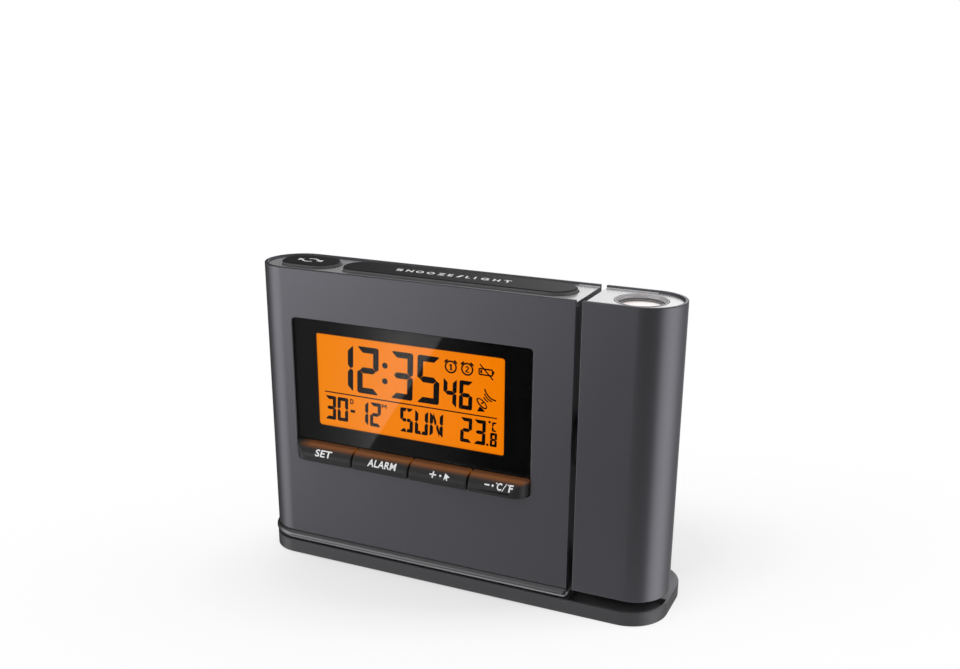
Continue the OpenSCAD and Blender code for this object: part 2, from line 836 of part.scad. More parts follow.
module chassis() color("#e2e2dc") placed() {
    x0 = x_win - chassis_left;
    x1 = x_win_end - board_right;
    z_window = z_lcd_bot + chassis_window_low;
    reset_hole = reset_switch_half + reset_room;
    difference() {
        union() {
            block([x0, y_chassis, z_key_bot - chassis_foot], [x1, y_bay_front, z_win_top + board_over]);
            for (x = [ferrite_x + saddle_in, ferrite_x + ferrite_len - saddle_in - saddle_t])
                block([x, y_bay_front - e, ferrite_z - saddle_t],
                    [x + saddle_t, ferrite_y, ferrite_z + saddle_t]);
        }
        block([x0 + chassis_window_in, y_chassis - past, z_window],
            [x1 - chassis_window_in, y_bay_front + past, z_window + chassis_window_h]);
        block([reset_x - reset_hole, y_chassis - past, reset_z - reset_hole],
            [reset_x + reset_hole, y_bay_front + past, reset_z + reset_hole]);
        for (x = frame_x, z = frame_z)
            rod_y(y_chassis - past, y_bay_front + past, x, z, frame_screw_r + screw_gap);
        rod_x(ferrite_x, ferrite_x + ferrite_len, ferrite_y, ferrite_z, ferrite_r + press_gap);
    }
}

// ---- front keys ----

module key_profile() {
    y_face = -half_d - key_proud;
    arc_y = y_face + key_arc;
    arc_z = z_key_top - key_arc;
    intersection() {
        translate([arc_y, arc_z]) circle(key_arc);
        translate([y_face, arc_z]) square([key_arc, key_arc]);
    }
    translate([y_face, z_key_bot]) square([key_arc, arc_z - z_key_bot + e]);
    translate([arc_y - e, z_key_bot]) square([key_back - arc_y + e, key_h]);
}

module front_key(i) placed() {
    x0 = key_edges[i] + (i == 0 ? 0 : key_split / 2);
    x1 = key_edges[i + 1] - (i == 3 ? 0 : key_split / 2);
    intersection() {
        along_x(x0, x1) key_profile();
        along_y(-half_d - key_proud - past, key_back + past)
            rounded(key_edges[0], z_key_bot, key_edges[4], z_win_bot + key_h, window_r);
        along_z(z_key_bot - past, z_key_top + past)
            rounded(key_edges[0], -half_d - key_proud, key_edges[4], half_d, key_end_r);
    }
    along_y(key_back - e, y_key_end) key_stem(i, 0);
    hook_x = (x0 + x1) / 2;
    for (z = [z_key_bot + hook_in, z_key_top - hook_in - hook_h])
        block([hook_x - hook_half, y_hook, z], [hook_x + hook_half, y_key_end, z + hook_h]);
}

module set_key() color("#3a3a3c") front_key(0);
module alarm_key() color("#3a3a3c") front_key(1);
module plus_key() color("#3a3a3c") front_key(2);
module minus_key() color("#3a3a3c") front_key(3);

// ---- top keys ----

module top_key(x0, x1, posts) placed() {
    leaning_stadium(x0, x1, top_key_r,
        z_seat - seat_gap - e, z_panel, z_top + top_key_rise, top_key_draft);
    along_z(z_top_flange, z_seat - seat_gap)
        stadium(x0 - top_flange_out, x1 + top_flange_out, top_key_r + top_flange_out);
    for (x = posts) rod_z(z_post_end, z_top_flange + e, x, 0, top_post_r);
}

module flip_key() color("#323234") top_key(x_flip, x_flip + flip_len, [top_posts[0]]);
module snooze_key() color("#323234") top_key(x_snooze, x_snooze_end, [top_posts[1], top_posts[2]]);

module top_board() color("#2f6b3c") placed()
    block([x_left + top_board_left, -top_board_half, z_top_board - top_board_t],
        [x_split - wall - top_board_right, top_board_half, z_top_board]);

module top_switches() color("#c9c9cc") placed()
    for (x = top_posts) {
        block([x - switch_half, -switch_half, z_top_board],
            [x + switch_half, switch_half, z_top_board + top_switch_t]);
        rod_z(z_top_board + top_switch_t - e, z_top_tip, x, 0, top_tip_r);
    }

// ---- battery bay ----

module battery_tray() color("#3a3a3c") placed() difference() {
    block([x_bay - tray_wall, y_bay - tray_wall, z_bay - tray_wall],
        [x_bay_end + tray_wall, in_d, z_bay + bay_h + tray_wall]);
    block([x_bay, y_bay, z_bay], [x_bay_end, in_d + past, z_bay + bay_h]);
}

// A flat plate at one end of each cell and a spring at the other
module battery_contacts() color("#c0c0c4") placed() {
    room = contact_room - spring_end_room - contact_t;
    for (i = [0, 1]) {
        spring_left = i == 0;
        xs = spring_left ? x_bay + contact_t : x_bay_end - contact_t;
        dir = spring_left ? 1 : -1;
        for (x = [x_bay, x_bay_end - contact_t])
            block([x, cell_y - contact_half, cell_z[i] - contact_half],
                [x + contact_t, cell_y + contact_half, cell_z[i] + contact_half]);
        pitch = (room - 2 * spring_wire_r) / (spring_coils - 1);
        for (k = [0:spring_coils - 1])
            translate([xs + dir * (spring_wire_r - e + k * pitch), cell_y, cell_z[i]])
                rotate([0, 90, 0]) rotate_extrude()
                    translate([spring_r - spring_taper * k, 0]) circle(spring_wire_r);
        rod_x(min(xs, xs + dir * room), max(xs, xs + dir * room), cell_y + spring_stay_out,
            cell_z[i], spring_stay_r);
    }
}

module battery_cells() color("#c8342c") placed()
    for (i = [0, 1]) {
        x0 = x_bay + contact_room;
        x1 = x0 + cell_len - nub_shift;
        rod_x(x0, x1, cell_y, cell_z[i], cell_d / 2);
        if (i == 0)
            rod_x(x1 - e, x1 + nub_len + nub_shift, cell_y, cell_z[i], nub_r);
        else
            rod_x(x0 - nub_len, x0 + e, cell_y, cell_z[i], nub_r);
    }

module battery_door() color("#4d4d50") placed() {
    x0 = x_door + slide_gap;
    x1 = x_door_end - slide_gap;
    difference() {
        union() {
            block([x0, half_d - door_t, z_hinge], [x1, half_d, z_door_top - slide_gap]);
            rod_x(x0, x1, door_y, z_hinge, door_t / 2);
            rod_x(x0 - door_pin_len, x1 + door_pin_len, door_y, z_hinge, door_pin_r);
        }
        translate([(x0 + x1) / 2, half_d + grip_out, z_door_top - grip_drop]) sphere(grip_ball);
    }
}

// ---- rear panel and electronics ----

module dc_jack() color("#202022") placed() difference() {
    y_mouth = half_d - jack_mouth;
    back = y_mouth - jack_deep;
    union() {
        block([jack_x - jack_half, back - jack_wall, jack_z - jack_half],
            [jack_x + jack_half, in_d, jack_z + jack_half]);
        rod_y(in_d - e, half_d, jack_x, jack_z, jack_nose_r);
    }
    rod_y(y_mouth, half_d + past, jack_x, jack_z, jack_r);
    difference() {
        rod_y(back, y_mouth + e, jack_x, jack_z, jack_r - jack_step);
        rod_y(back - past, y_mouth - jack_step, jack_x, jack_z, jack_pin_r);
    }
}

module reset_button() color("#8a8a8e") placed() {
    rod_y(y_reset_end, half_d - reset_sunk, reset_x, reset_z, reset_r);
    rod_y(in_d - seat_gap - reset_flange_t, in_d - seat_gap, reset_x, reset_z, reset_flange_r);
}

module buzzer() color("#b08a3c") placed()
    rod_y(in_d - buzzer_t, in_d, buzzer_x, buzzer_z, buzzer_r);

module radio_antenna() color("#4a4038") placed() {
    rod_x(ferrite_x, ferrite_x + ferrite_len, ferrite_y, ferrite_z, ferrite_r);
    rod_x(ferrite_x + ferrite_bare, ferrite_x + ferrite_len - ferrite_bare, ferrite_y, ferrite_z,
        ferrite_r + coil_out);
}

module temp_sensor() color("#2c4a7a") placed()
    block([vent_x - sensor_half, in_d - sensor_t, vent_z - sensor_half],
        [vent_x + sensor_half, in_d, vent_z + sensor_half]);

// ---- hinge ----

module hinge_bush() color("#d0d0cc") placed() difference() {
    union() {
        rod_x(x_bush_in, x_split, 0, z_pivot, bush_r);
        rod_x(x_split, x_split + bush_flange_t, 0, z_pivot, bush_flange_r);
    }
    rod_x(x_bush_in - past, x_split + bush_flange_t + past, 0, z_pivot, shaft_r + run_gap);
}

module friction_washer() color("#b8b8bc") placed() difference() {
    rod_x(x_washer, x_bush_in, 0, z_pivot, shaft_r + washer_wide);
    rod_x(x_washer - past, x_bush_in + past, 0, z_pivot, shaft_r + seat_gap);
}

module hinge_nut() color("#9a9aa0") placed() difference() {
    rod_x(x_nut, x_washer - press_gap, 0, z_pivot, nut_r);
    rod_x(x_nut - past, x_washer + past, 0, z_pivot, shaft_r + thread_gap);
    for (a = [0:90:270]) translate([x_nut + nut_t / 2, 0, z_pivot]) rotate([a, 0, 0])
        translate([0, nut_r, 0]) cube([nut_t + past, nut_notch, nut_notch], center = true);
}

module at_shaft_screws()
    for (i = [0:shaft_screw_n - 1]) translate([0, 0, z_pivot])
        rotate([90 + i * 360 / shaft_screw_n, 0, 0])
            translate([0, shaft_r + shaft_screw_out, 0]) children();

module hinge_shaft() color("#3c3c3e") placed() difference() {
    union() {
        rod_x(x_nut - thread_end, x_arm_in + e, 0, z_pivot, shaft_r);
        rod_x(x_split + bush_flange_t + press_gap, x_arm, 0, z_pivot, shaft_r + collar_wall);
        rod_x(x_arm_in, x_arm_in + shaft_flange_t, 0, z_pivot, shaft_flange_r);
    }
    rod_x(x_nut - thread_end - past, x_arm_in + shaft_flange_t + past, 0, z_pivot, shaft_bore_r);
    at_shaft_screws()
        rod_x(x_arm_in - past, x_arm_in + shaft_flange_t + past, 0, 0, shaft_screw_r + screw_gap);
}

module shaft_screws() color("silver") placed() at_shaft_screws() {
    x_head = x_arm_in + shaft_flange_t;
    rod_x(x_head, x_head + small_head_h, 0, 0, shaft_head_r);
    rod_x(x_arm_in - shaft_screw_bite, x_head + e, 0, 0, shaft_screw_r);
}

module hinge_wires() color("#b03030") placed()
    for (a = [0:90:270])
        rod_x(x_nut - wire_into_body, x_arm_in + wire_into_arm, wire_ring * cos(a),
            z_pivot + wire_ring * sin(a), wire_r);

// ---- projector arm ----

module arm_housing() color("#4b4b4f") placed() difference() {
    union() {
        difference() {
            along_z(z_shell, z_top) arm_plan();
            along_z(z_shell - past, z_seat + e) arm_plan(wall);
            along_z(z_seat, z_top + past) arm_panel_plan(rim_wall, x_arm - past);
        }
        rod_x(x_arm + wall - e, x_arm_in, 0, z_pivot, in_d - seat_gap);
        intersection() {
            along_z(z_ledge - ledge_h, z_ledge) arm_plan(wall - e);
            union() {
                block([x_arm, -half_d, z_shell], [x_arm + wall + ledge_left, half_d, z_top]);
                block([x_right - wall - ledge_right, -half_d, z_shell], [x_right, half_d, z_top]);
            }
        }
        for (s = [-1, 1])
            block([x_arm + wall - e, s * arm_board_half - arm_board_rib, z_arm_board],
                [x_arm + wall + arm_board_rib, s * arm_board_half + arm_board_rib, z_arm_board_top]);
    }
    rod_x(x_arm - past, x_arm_in + past, 0, z_pivot, shaft_r + press_gap);
    at_shaft_screws()
        rod_x(x_arm_in - shaft_screw_bite - thread_gap, x_arm_in + past, 0, 0,
            shaft_screw_r + thread_gap);
    at_projector_screws()
        rod_z(-ledge_h - past, past, 0, 0, projector_screw_r + thread_gap);
}

module arm_top_panel() color("#c9cbce") placed()
    along_z(z_seat, z_panel) difference() {
        arm_panel_plan(rim_wall + seat_gap, x_arm);
        translate([lens_x, 0]) circle(ring_hole_r);
    }

module arm_bottom_cap() color("#3c3c3e") placed()
    along_z(z_shell, z_shell + arm_cap_t) arm_plan(wall + seat_gap);

module at_projector_screws() {
    x_near = x_arm + wall + projector_left;
    for (p = [[x_near, projector_side], [x_near, -projector_side],
            [x_right - wall - projector_right, 0]])
        translate([p[0], p[1], z_ledge]) children();
}

module projector_tube() color("#242426") placed() difference() {
    union() {
        rod_z(z_tube, z_tube_top, lens_x, 0, tube_r);
        along_z(z_ledge, z_ledge + tube_flange_t) arm_plan(wall + seat_gap);
    }
    rod_z(z_tube - past, z_condenser - shelf_floor, lens_x, 0, tube_in_r);
    rod_z(z_tube - past, z_condenser + e, lens_x, 0, condenser_hole_r);
    rod_z(z_condenser, z_slide - shelf_floor, lens_x, 0, tube_in_r);
    rod_z(z_condenser, z_slide + e, lens_x, 0, slide_hole_r);
    rod_z(z_slide, z_tube_top + past, lens_x, 0, tube_in_r);
    at_projector_screws()
        rod_z(-past, tube_flange_t + past, 0, 0, projector_screw_r + screw_gap);
}

module projector_screws() color("silver") placed() at_projector_screws() {
    rod_z(tube_flange_t, tube_flange_t + small_head_h, 0, 0, projector_head_r);
    rod_z(-projector_bite, tube_flange_t + e, 0, 0, projector_screw_r);
}

module led_board() color("#e8e8e8") placed()
    rod_z(z_tube, z_tube + led_board_t, lens_x, 0, tube_in_r - seat_gap);

module projector_led() color("#ff3a2a") placed() {
    z0 = z_tube + led_board_t;
    rod_z(z0, z0 + led_base_h, lens_x, 0, led_base_r);
    intersection() {
        translate([lens_x, 0, z0 + led_base_h / 2]) sphere(led_dome_r);
        rod_z(z0 + led_base_h - e, z0 + led_base_h + led_dome_r, lens_x, 0, led_base_r);
    }
}

// Flat below, domed above
module condenser_lens() color("#e0f0ff90") placed() intersection() {
    rod_z(z_condenser, z_condenser + condenser_h + past, lens_x, 0, tube_in_r - condenser_edge);
    translate([lens_x, 0, z_condenser + condenser_h - condenser_ball]) sphere(condenser_ball);
}

module projection_lcd() color("#707a60") placed()
    translate([lens_x, 0, z_slide + slide_t / 2])
        cube([slide_side, slide_side, slide_t], center = true);

module arm_pcb() color("#2f6b3c") placed() {
    x0 = x_arm + wall + arm_board_rib;
    block([x0, -arm_board_half, z_arm_board], [x0 + arm_board_t, arm_board_half, z_arm_board_top]);
}

// Its mouth steps outwards towards the top
module focus_ring() color("#a8aab0") placed() difference() {
    union() {
        rod_z(z_ring_flange, z_ring_top, lens_x, 0, ring_r);
        rod_z(z_ring_flange, z_seat - seat_gap, lens_x, 0, ring_r + seat_gap + ring_flange_out);
        rod_z(z_ring_bot, z_ring_flange + e, lens_x, 0, tube_in_r - seat_gap);
    }
    rod_z(z_ring_bot - past, z_ring_top + past, lens_x, 0, ring_in_r);
    for (i = [1:ring_steps])
        rod_z(z_ring_top - ring_step_h * (ring_steps + 1 - i), z_ring_top + past, lens_x, 0,
            ring_in_r + i * ring_step_w);
}

module lens_cell() color("#1c1c1e") placed() difference() {
    rod_z(z_cell_bot, z_cell_top, lens_x, 0, lens_cell_r);
    rod_z(z_cell_bot - past, z_cell_top - lens_seat + e, lens_x, 0, lens_r - lens_cell_lip);
    rod_z(z_cell_top - lens_seat, z_cell_top + past, lens_x, 0, lens_r + press_gap);
}

module projector_lens() color("#eef6ffa0") placed() {
    z0 = z_cell_top - lens_seat;
    drop = sqrt(lens_ball * lens_ball - lens_r * lens_r);
    rod_z(z0, z0 + lens_rim_h, lens_x, 0, lens_r);
    intersection() {
        translate([lens_x, 0, z0 + lens_rim_h - drop]) sphere(lens_ball);
        rod_z(z0 + lens_rim_h - e, z0 + lens_rim_h + lens_ball, lens_x, 0, lens_r);
    }
}

housing();
top_panel();
base_plate();
foot_collar();
foot_pads();
base_screws();
display_window();
display_bezel();
lcd_panel();
backlight_panel();
backlight_leds();
lcd_holder();
zebra_strip();
main_pcb();
pcb_chips();
key_switches();
frame_screws();
chassis();
set_key();
alarm_key();
plus_key();
minus_key();
flip_key();
snooze_key();
top_board();
top_switches();
battery_tray();
battery_contacts();
battery_cells();
battery_door();
dc_jack();
reset_button();
buzzer();
radio_antenna();
temp_sensor();
hinge_bush();
friction_washer();
hinge_shaft();
shaft_screws();
hinge_nut();
hinge_wires();
arm_housing();
arm_top_panel();
arm_bottom_cap();
projector_tube();
projector_screws();
led_board();
projector_led();
condenser_lens();
projection_lcd();
arm_pcb();
lens_cell();
projector_lens();
focus_ring();
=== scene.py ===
import math

import bmesh
import bpy
from mathutils import Matrix, Vector


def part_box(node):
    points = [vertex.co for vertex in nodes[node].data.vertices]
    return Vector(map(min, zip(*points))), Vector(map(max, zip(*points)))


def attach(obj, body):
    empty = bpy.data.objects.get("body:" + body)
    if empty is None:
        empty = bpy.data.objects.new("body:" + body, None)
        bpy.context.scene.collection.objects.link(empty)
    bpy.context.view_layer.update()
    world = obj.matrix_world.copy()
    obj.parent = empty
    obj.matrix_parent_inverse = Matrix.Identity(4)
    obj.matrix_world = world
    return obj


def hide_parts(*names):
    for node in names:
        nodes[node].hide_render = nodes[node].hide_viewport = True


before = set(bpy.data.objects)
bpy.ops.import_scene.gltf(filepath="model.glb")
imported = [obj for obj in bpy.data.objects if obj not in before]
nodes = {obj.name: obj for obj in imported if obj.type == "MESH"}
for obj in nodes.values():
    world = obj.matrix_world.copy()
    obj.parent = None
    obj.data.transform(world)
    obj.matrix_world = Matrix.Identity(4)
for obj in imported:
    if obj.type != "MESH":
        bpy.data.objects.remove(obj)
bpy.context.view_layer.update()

mm = 0.001
print("frame loaded with", len(nodes), "nodes")

camera = {
    "place": (151.5285, -323.6693, 186.8771),  # mm, in the clock's frame
    "right": (0.91272447, 0.40848232, 0.00873092),
    "up": (-0.1412333, 0.29537971, 0.94488305),
    "forward": (-0.38338909, 0.86365098, -0.3272916),
    "lens": 41.52,
    "sensor": 36,
    "shift": (-0.009029, 0.068173),
    "clip": (0.01, 50),  # metres
}


def newObject(name, data):
    made = bpy.data.objects.new(name, data)
    bpy.context.scene.collection.objects.link(made)
    return made


def makeCamera(spec):
    data = bpy.data.cameras.new("clockCamera")
    data.lens = spec["lens"]
    data.sensor_width = spec["sensor"]
    data.sensor_fit = "HORIZONTAL"
    data.shift_x, data.shift_y = spec["shift"]
    data.clip_start, data.clip_end = spec["clip"]
    made = newObject("clockCamera", data)
    columns = [Vector(spec["right"]), Vector(spec["up"]), -Vector(spec["forward"])]
    turn = Matrix([[column[row] for column in columns] for row in range(3)]).to_4x4()
    made.matrix_world = Matrix.Translation(Vector(spec["place"]) * mm) @ turn
    bpy.context.scene.camera = made


makeCamera(camera)
bpy.context.scene.view_settings.view_transform = "Standard"
print("camera made")


def newMaterial(name, kind="ShaderNodeBsdfPrincipled"):
    made = bpy.data.materials.new(name)
    made.use_nodes = True
    tree = made.node_tree
    tree.nodes.clear()
    output = tree.nodes.new("ShaderNodeOutputMaterial")
    shader = tree.nodes.new(kind)
    tree.links.new(shader.outputs[0], output.inputs[0])
    return made, tree, shader


def fill(node, values):
    for socket, value in values.items():
        node.inputs[socket].default_value = value
    return node


def newNode(tree, kind, values=None, **settings):
    made = tree.nodes.new(kind)
    for key, value in settings.items():
        setattr(made, key, value)
    return fill(made, values or {})


def join(tree, start, socket, end, target):
    tree.links.new(start.outputs[socket], end.inputs[target])
    return end


def feed(tree, value, socket):
    # value: a (node, socket) pair
    tree.links.new(value[0].outputs[value[1]], socket)


def axesOf(tree, start, socket="Vector"):
    return join(tree, start, socket, tree.nodes.new("ShaderNodeSeparateXYZ"), "Vector")


def shaderOf(tree):
    return next(node for node in tree.nodes if node.type == "BSDF_PRINCIPLED")


def objectPlace(tree, stretch=(1, 1, 1)):
    mapping = newNode(tree, "ShaderNodeMapping", {"Scale": stretch})
    return join(tree, tree.nodes.new("ShaderNodeTexCoord"), "Object", mapping, "Vector")


def noise(tree, place, size, detail=2.0):
    # size: width of one blotch in mm
    made = newNode(tree, "ShaderNodeTexNoise", {"Scale": 1 / (size * mm), "Detail": detail})
    return join(tree, place, "Vector", made, "Vector")


def blendColours(tree, driver, socket, stops):
    ramp = tree.nodes.new("ShaderNodeValToRGB")
    for i, (at, colour) in enumerate(stops):
        stop = ramp.color_ramp.elements[i] if i < 2 else ramp.color_ramp.elements.new(at)
        stop.position = at
        stop.color = (*colour[:3], 1)
    return join(tree, driver, socket, ramp, "Fac")


def levels(tree, driver, socket, stops, unit=1):
    # stops over the driver's own range: a colour, or a number up to 2, which comes out halved
    low, high = stops[0][0], stops[-1][0]
    scaled = newNode(tree, "ShaderNodeMapRange", {"From Min": low * unit, "From Max": high * unit})
    join(tree, driver, socket, scaled, "Value")
    return blendColours(tree, scaled, "Result", [
        ((at - low) / (high - low), (level / 2,) * 3 if isinstance(level, (int, float)) else level)
        for at, level in stops]), "Color"


def combine(tree, operation, *values):
    # each value is a number or a (node, socket) pair
    made = newNode(tree, "ShaderNodeMath", operation=operation)
    for i, value in enumerate(values):
        if isinstance(value, tuple):
            feed(tree, value, made.inputs[i])
        else:
            fill(made, {i: value})
    return made, "Value"


def times(tree, first, second):
    return combine(tree, "MULTIPLY", first, second)


def crossed(tree, first, second):
    # a quarter of the product of two levels, each given by what levels takes after the tree
    return times(tree, levels(tree, *first), levels(tree, *second))


def dimmed(tree, colour, socket, share):
    # a colour times a (node, socket) share
    lit = newNode(tree, "ShaderNodeVectorMath", operation="SCALE")
    feed(tree, share, lit.inputs["Scale"])
    return join(tree, colour, socket, lit, 0)


noiseLow, noiseHigh = 0.3, 0.7  # a noise seldom leaves these


def spread(tree, driver, low, high):
    # a noise stretched from low to high
    made = newNode(tree, "ShaderNodeMapRange",
                   {"From Min": noiseLow, "From Max": noiseHigh, "To Min": low, "To Max": high})
    return join(tree, driver, "Fac", made, "Value")


def addBump(tree, shader, driver, socket, depth, strength):
    # depth in mm
    bump = newNode(tree, "ShaderNodeBump", {"Distance": depth * mm, "Strength": strength})
    join(tree, driver, socket, bump, "Height")
    join(tree, bump, "Normal", shader, "Normal")


def shade(colour, factor):
    return tuple(min(1.0, c * factor) for c in colour[:3])


# what a moulded or painted finish has unless it says otherwise; grain: width and depth, sizes in mm
usual = {"cloudy": 0.06, "cloudSize": 18, "grain": (0.22, 0.008), "uneven": 0.03, "stretch": (1, 1, 1),
         "metal": 0.0, "specular": 0.5, "coat": 0.0}


def mouldedFinish(name, look):
    # cloudy colour, fine grain, uneven gloss
    look = {**usual, **look}
    made, tree, shader = newMaterial(name)
    place = objectPlace(tree, look["stretch"])
    cloud = noise(tree, place, look["cloudSize"], 3)
    colour, cloudy = look["colour"], look["cloudy"]
    tint = blendColours(tree, cloud, "Fac", [
        (noiseLow, shade(colour, 1 - cloudy)), (noiseHigh, shade(colour, 1 + cloudy))])
    join(tree, tint, "Color", shader, "Base Color")
    width, depth = look["grain"]
    grain = noise(tree, place, width)
    gloss = spread(tree, grain, look["rough"] - look["uneven"], look["rough"] + look["uneven"])
    join(tree, gloss, "Result", shader, "Roughness")
    addBump(tree, shader, grain, "Fac", depth, 0.5)
    fill(shader, {"Metallic": look["metal"], "Specular IOR Level": look["specular"],
                  "Coat Weight": look["coat"], "Coat Roughness": 0.1})
    return made


usualClear = {"hazeSize": 6, "haze": 0.985, "uneven": 0.004, "index": 1.49, "clear": 1.0,
              "glow": (0, 0, 0), "strength": 0.0}


def clearFinish(name, look):
    # glass and clear plastic with faint moulding haze
    look = {**usualClear, **look}
    made, tree, shader = newMaterial(name)
    haze = noise(tree, objectPlace(tree), look["hazeSize"])
    tint = blendColours(tree, haze, "Fac", [
        (0.35, shade(look["colour"], look["haze"])), (0.65, look["colour"])])
    join(tree, tint, "Color", shader, "Base Color")
    gloss = spread(tree, haze, look["rough"], look["rough"] + look["uneven"])
    join(tree, gloss, "Result", shader, "Roughness")
    fill(shader, {"IOR": look["index"], "Transmission Weight": look["clear"],
                  "Emission Color": (*look["glow"], 1), "Emission Strength": look["strength"]})
    return made


finishes = {
    "casePaint": {"colour": (0.201, 0.2, 0.222), "metal": 0.84, "rough": 0.35, "grain": (0.16, 0.004),
                  "cloudy": 0.025, "cloudSize": 40},
    "footPaint": {"colour": (0.12, 0.12, 0.126), "metal": 0.55, "rough": 0.4, "grain": (0.16, 0.004),
                  "cloudy": 0.03},
    "beadPaint": {"colour": (0.29, 0.29, 0.3), "metal": 0.95, "rough": 0.3, "grain": (0.16, 0.002),
                  "cloudy": 0.03},
    "silverPaint": {"colour": (0.87, 0.87, 0.88), "metal": 0.7, "rough": 0.25, "grain": (0.12, 0.002),
                    "cloudy": 0.015, "cloudSize": 30},
    "ringPaint": {"colour": (0.72, 0.72, 0.73), "metal": 0.55, "rough": 0.3, "grain": (0.12, 0.003),
                  "cloudy": 0.02},
    "frontKey": {"colour": (0.026, 0.026, 0.0265), "rough": 0.34, "grain": (0.2, 0.003), "specular": 0.4},
    "topKey": {"colour": (0.021, 0.021, 0.0215), "rough": 0.4, "grain": (0.2, 0.005), "specular": 0.13},
    # painted reflection: the top keys' sides get this lighter, metallic paint for the sheen they catch
    "skirtSheenPaint": {"colour": (0.17, 0.17, 0.175), "metal": 0.5, "rough": 0.38, "grain": (0.2, 0.004)},
    # painted reflection: a pale strip for the silver panel mirrored in the rim's inner wall
    "paleRimSheen": {"colour": (0.95, 0.95, 0.96), "rough": 0.4, "grain": (0.12, 0.002)},
    # painted shade: dark grey for the shaded step faces inside the focus ring
    "ringShade": {"colour": (0.1, 0.1, 0.105), "rough": 0.5, "grain": (0.3, 0.008)},
    "backPlastic": {"colour": (0.07, 0.07, 0.072), "rough": 0.5, "grain": (0.3, 0.02)},
    "blackFrame": {"colour": (0.0025, 0.0025, 0.0026), "rough": 0.4, "grain": (0.2, 0.003), "specular": 0.1},
    "padRubber": {"colour": (0.018, 0.018, 0.018), "rough": 0.8, "grain": (0.4, 0.03)},
    "steel": {"colour": (0.6, 0.6, 0.6), "metal": 1.0, "rough": 0.28, "grain": (0.1, 0.004),
              "stretch": (1, 1, 8)},
    "whitePlastic": {"colour": (0.66, 0.66, 0.62), "rough": 0.5, "grain": (0.22, 0.01)},
    "lightGuide": {"colour": (0.95, 0.62, 0.3), "rough": 0.3, "grain": (0.8, 0.02)},
    "elastomer": {"colour": (0.42, 0.25, 0.25), "rough": 0.6, "grain": (0.25, 0.008),
                  "stretch": (1, 0.05, 0.05)},
    "switchGrey": {"colour": (0.45, 0.45, 0.47), "rough": 0.4},
    "chipBlack": {"colour": (0.012, 0.012, 0.013), "rough": 0.45, "grain": (0.22, 0.01)},
    "trayPlastic": {"colour": (0.035, 0.035, 0.037), "rough": 0.5, "grain": (0.3, 0.02)},
    "resetGrey": {"colour": (0.3, 0.3, 0.31), "rough": 0.45},
    "brass": {"colour": (0.42, 0.3, 0.13), "metal": 1.0, "rough": 0.45, "grain": (0.22, 0.01)},
    "ferrite": {"colour": (0.045, 0.042, 0.04), "rough": 0.55, "grain": (0.3, 0.03)},
    "copper": {"colour": (0.75, 0.33, 0.16), "metal": 1.0, "rough": 0.3, "grain": (0.22, 0.004)},
    "sensorBlue": {"colour": (0.03, 0.08, 0.25), "rough": 0.3, "coat": 0.5},
    "tubeBlack": {"colour": (0.012, 0.012, 0.013), "rough": 0.5, "grain": (0.22, 0.01)},
    "wireRed": {"colour": (0.4, 0.03, 0.02), "rough": 0.45},
}
finishOf = {name: mouldedFinish(name, look) for name, look in finishes.items()}

clearLooks = {
    "paneClear": {"colour": (0.97, 0.97, 0.97), "rough": 0.0, "uneven": 0.002, "index": 1.36},
    "lensClear": {"colour": (0.98, 0.99, 1.0), "rough": 0.02},
    # painted light: the projection lens glows pale pink as if lit, standing for its bright highlight
    "lensGlowPainted": {"colour": (0.98, 0.97, 0.97), "rough": 0.03, "clear": 0.5, "glow": (1.0, 0.72, 0.7),
                "strength": 0.4},
    "amberClear": {"colour": (1.0, 0.6, 0.15), "rough": 0.08},
    "redClear": {"colour": (0.95, 0.06, 0.04), "rough": 0.05},
}
finishOf.update({name: clearFinish(name, look) for name, look in clearLooks.items()})
print("finishes made:", len(finishOf))


def lcdFinish():
    # orange backlight: a little deeper towards the right, dimmer at its very edge, where painted shade from
    # the bezel's rim joins the backlight's own falloff; places in mm
    look = {"left": (-52, (1.0, 0.262, 0.0)), "right": (22, (1.0, 0.228, 0.0)), "glow": 0.95, "rough": 0.35,
            "across": [(-49.8, 0.7), (-49.4, 0.93), (-48.8, 1.0), (19.2, 1.0), (20.0, 0.93), (20.6, 0.7)],
            "upward": [(51.5, 0.7), (52.0, 0.94), (52.6, 1.0), (83.8, 1.0), (84.4, 0.92), (85.0, 0.6)],
            "grain": 0.3, "unlit": [(0.05, 0.014, 0.0), (0.06, 0.017, 0.0)]}
    made, tree, shader = newMaterial("orangeDisplay")
    place = objectPlace(tree)
    axes = axesOf(tree, place)
    glow = levels(tree, axes, "X", (look["left"], look["right"]), mm)
    quarter = crossed(tree, (axes, "X", look["across"], mm), (axes, "Z", look["upward"], mm))
    share = times(tree, quarter, 4.0)
    join(tree, dimmed(tree, *glow, share), "Vector", shader, "Emission Color")
    fine = noise(tree, place, look["grain"])
    tint = blendColours(tree, fine, "Fac", list(zip((noiseLow, noiseHigh), look["unlit"])))
    join(tree, tint, "Color", shader, "Base Color")
    fill(shader, {"Emission Strength": look["glow"], "Roughness": look["rough"], "Specular IOR Level": 0.0})
    return made


def glowPaintedCellFinish():
    # painted light and shade: the pale bore round the lens glows as if lit from inside, and is painted dark
    # above the cell's travel
    look = {"body": (0.8, 0.78, 0.77), "glow": (1.0, 0.94, 0.93), "strength": 0.3,
            "height": [(103.3, 2.0), (103.75, 0.2)], "grain": 0.4, "rough": (0.45, 0.55)}
    made, tree, shader = newMaterial("glowPaintedCell")
    place = objectPlace(tree)
    share = levels(tree, axesOf(tree, place), "Z", look["height"], mm)
    for colour, socket in (("body", "Base Color"), ("glow", "Emission Color")):
        tint = newNode(tree, "ShaderNodeVectorMath", {1: look[colour]}, operation="MULTIPLY")
        feed(tree, share, tint.inputs[0])
        join(tree, tint, "Vector", shader, socket)
    fine = noise(tree, place, look["grain"])
    join(tree, spread(tree, fine, *look["rough"]), "Result", shader, "Roughness")
    fill(shader, {"Emission Strength": look["strength"]})
    return made


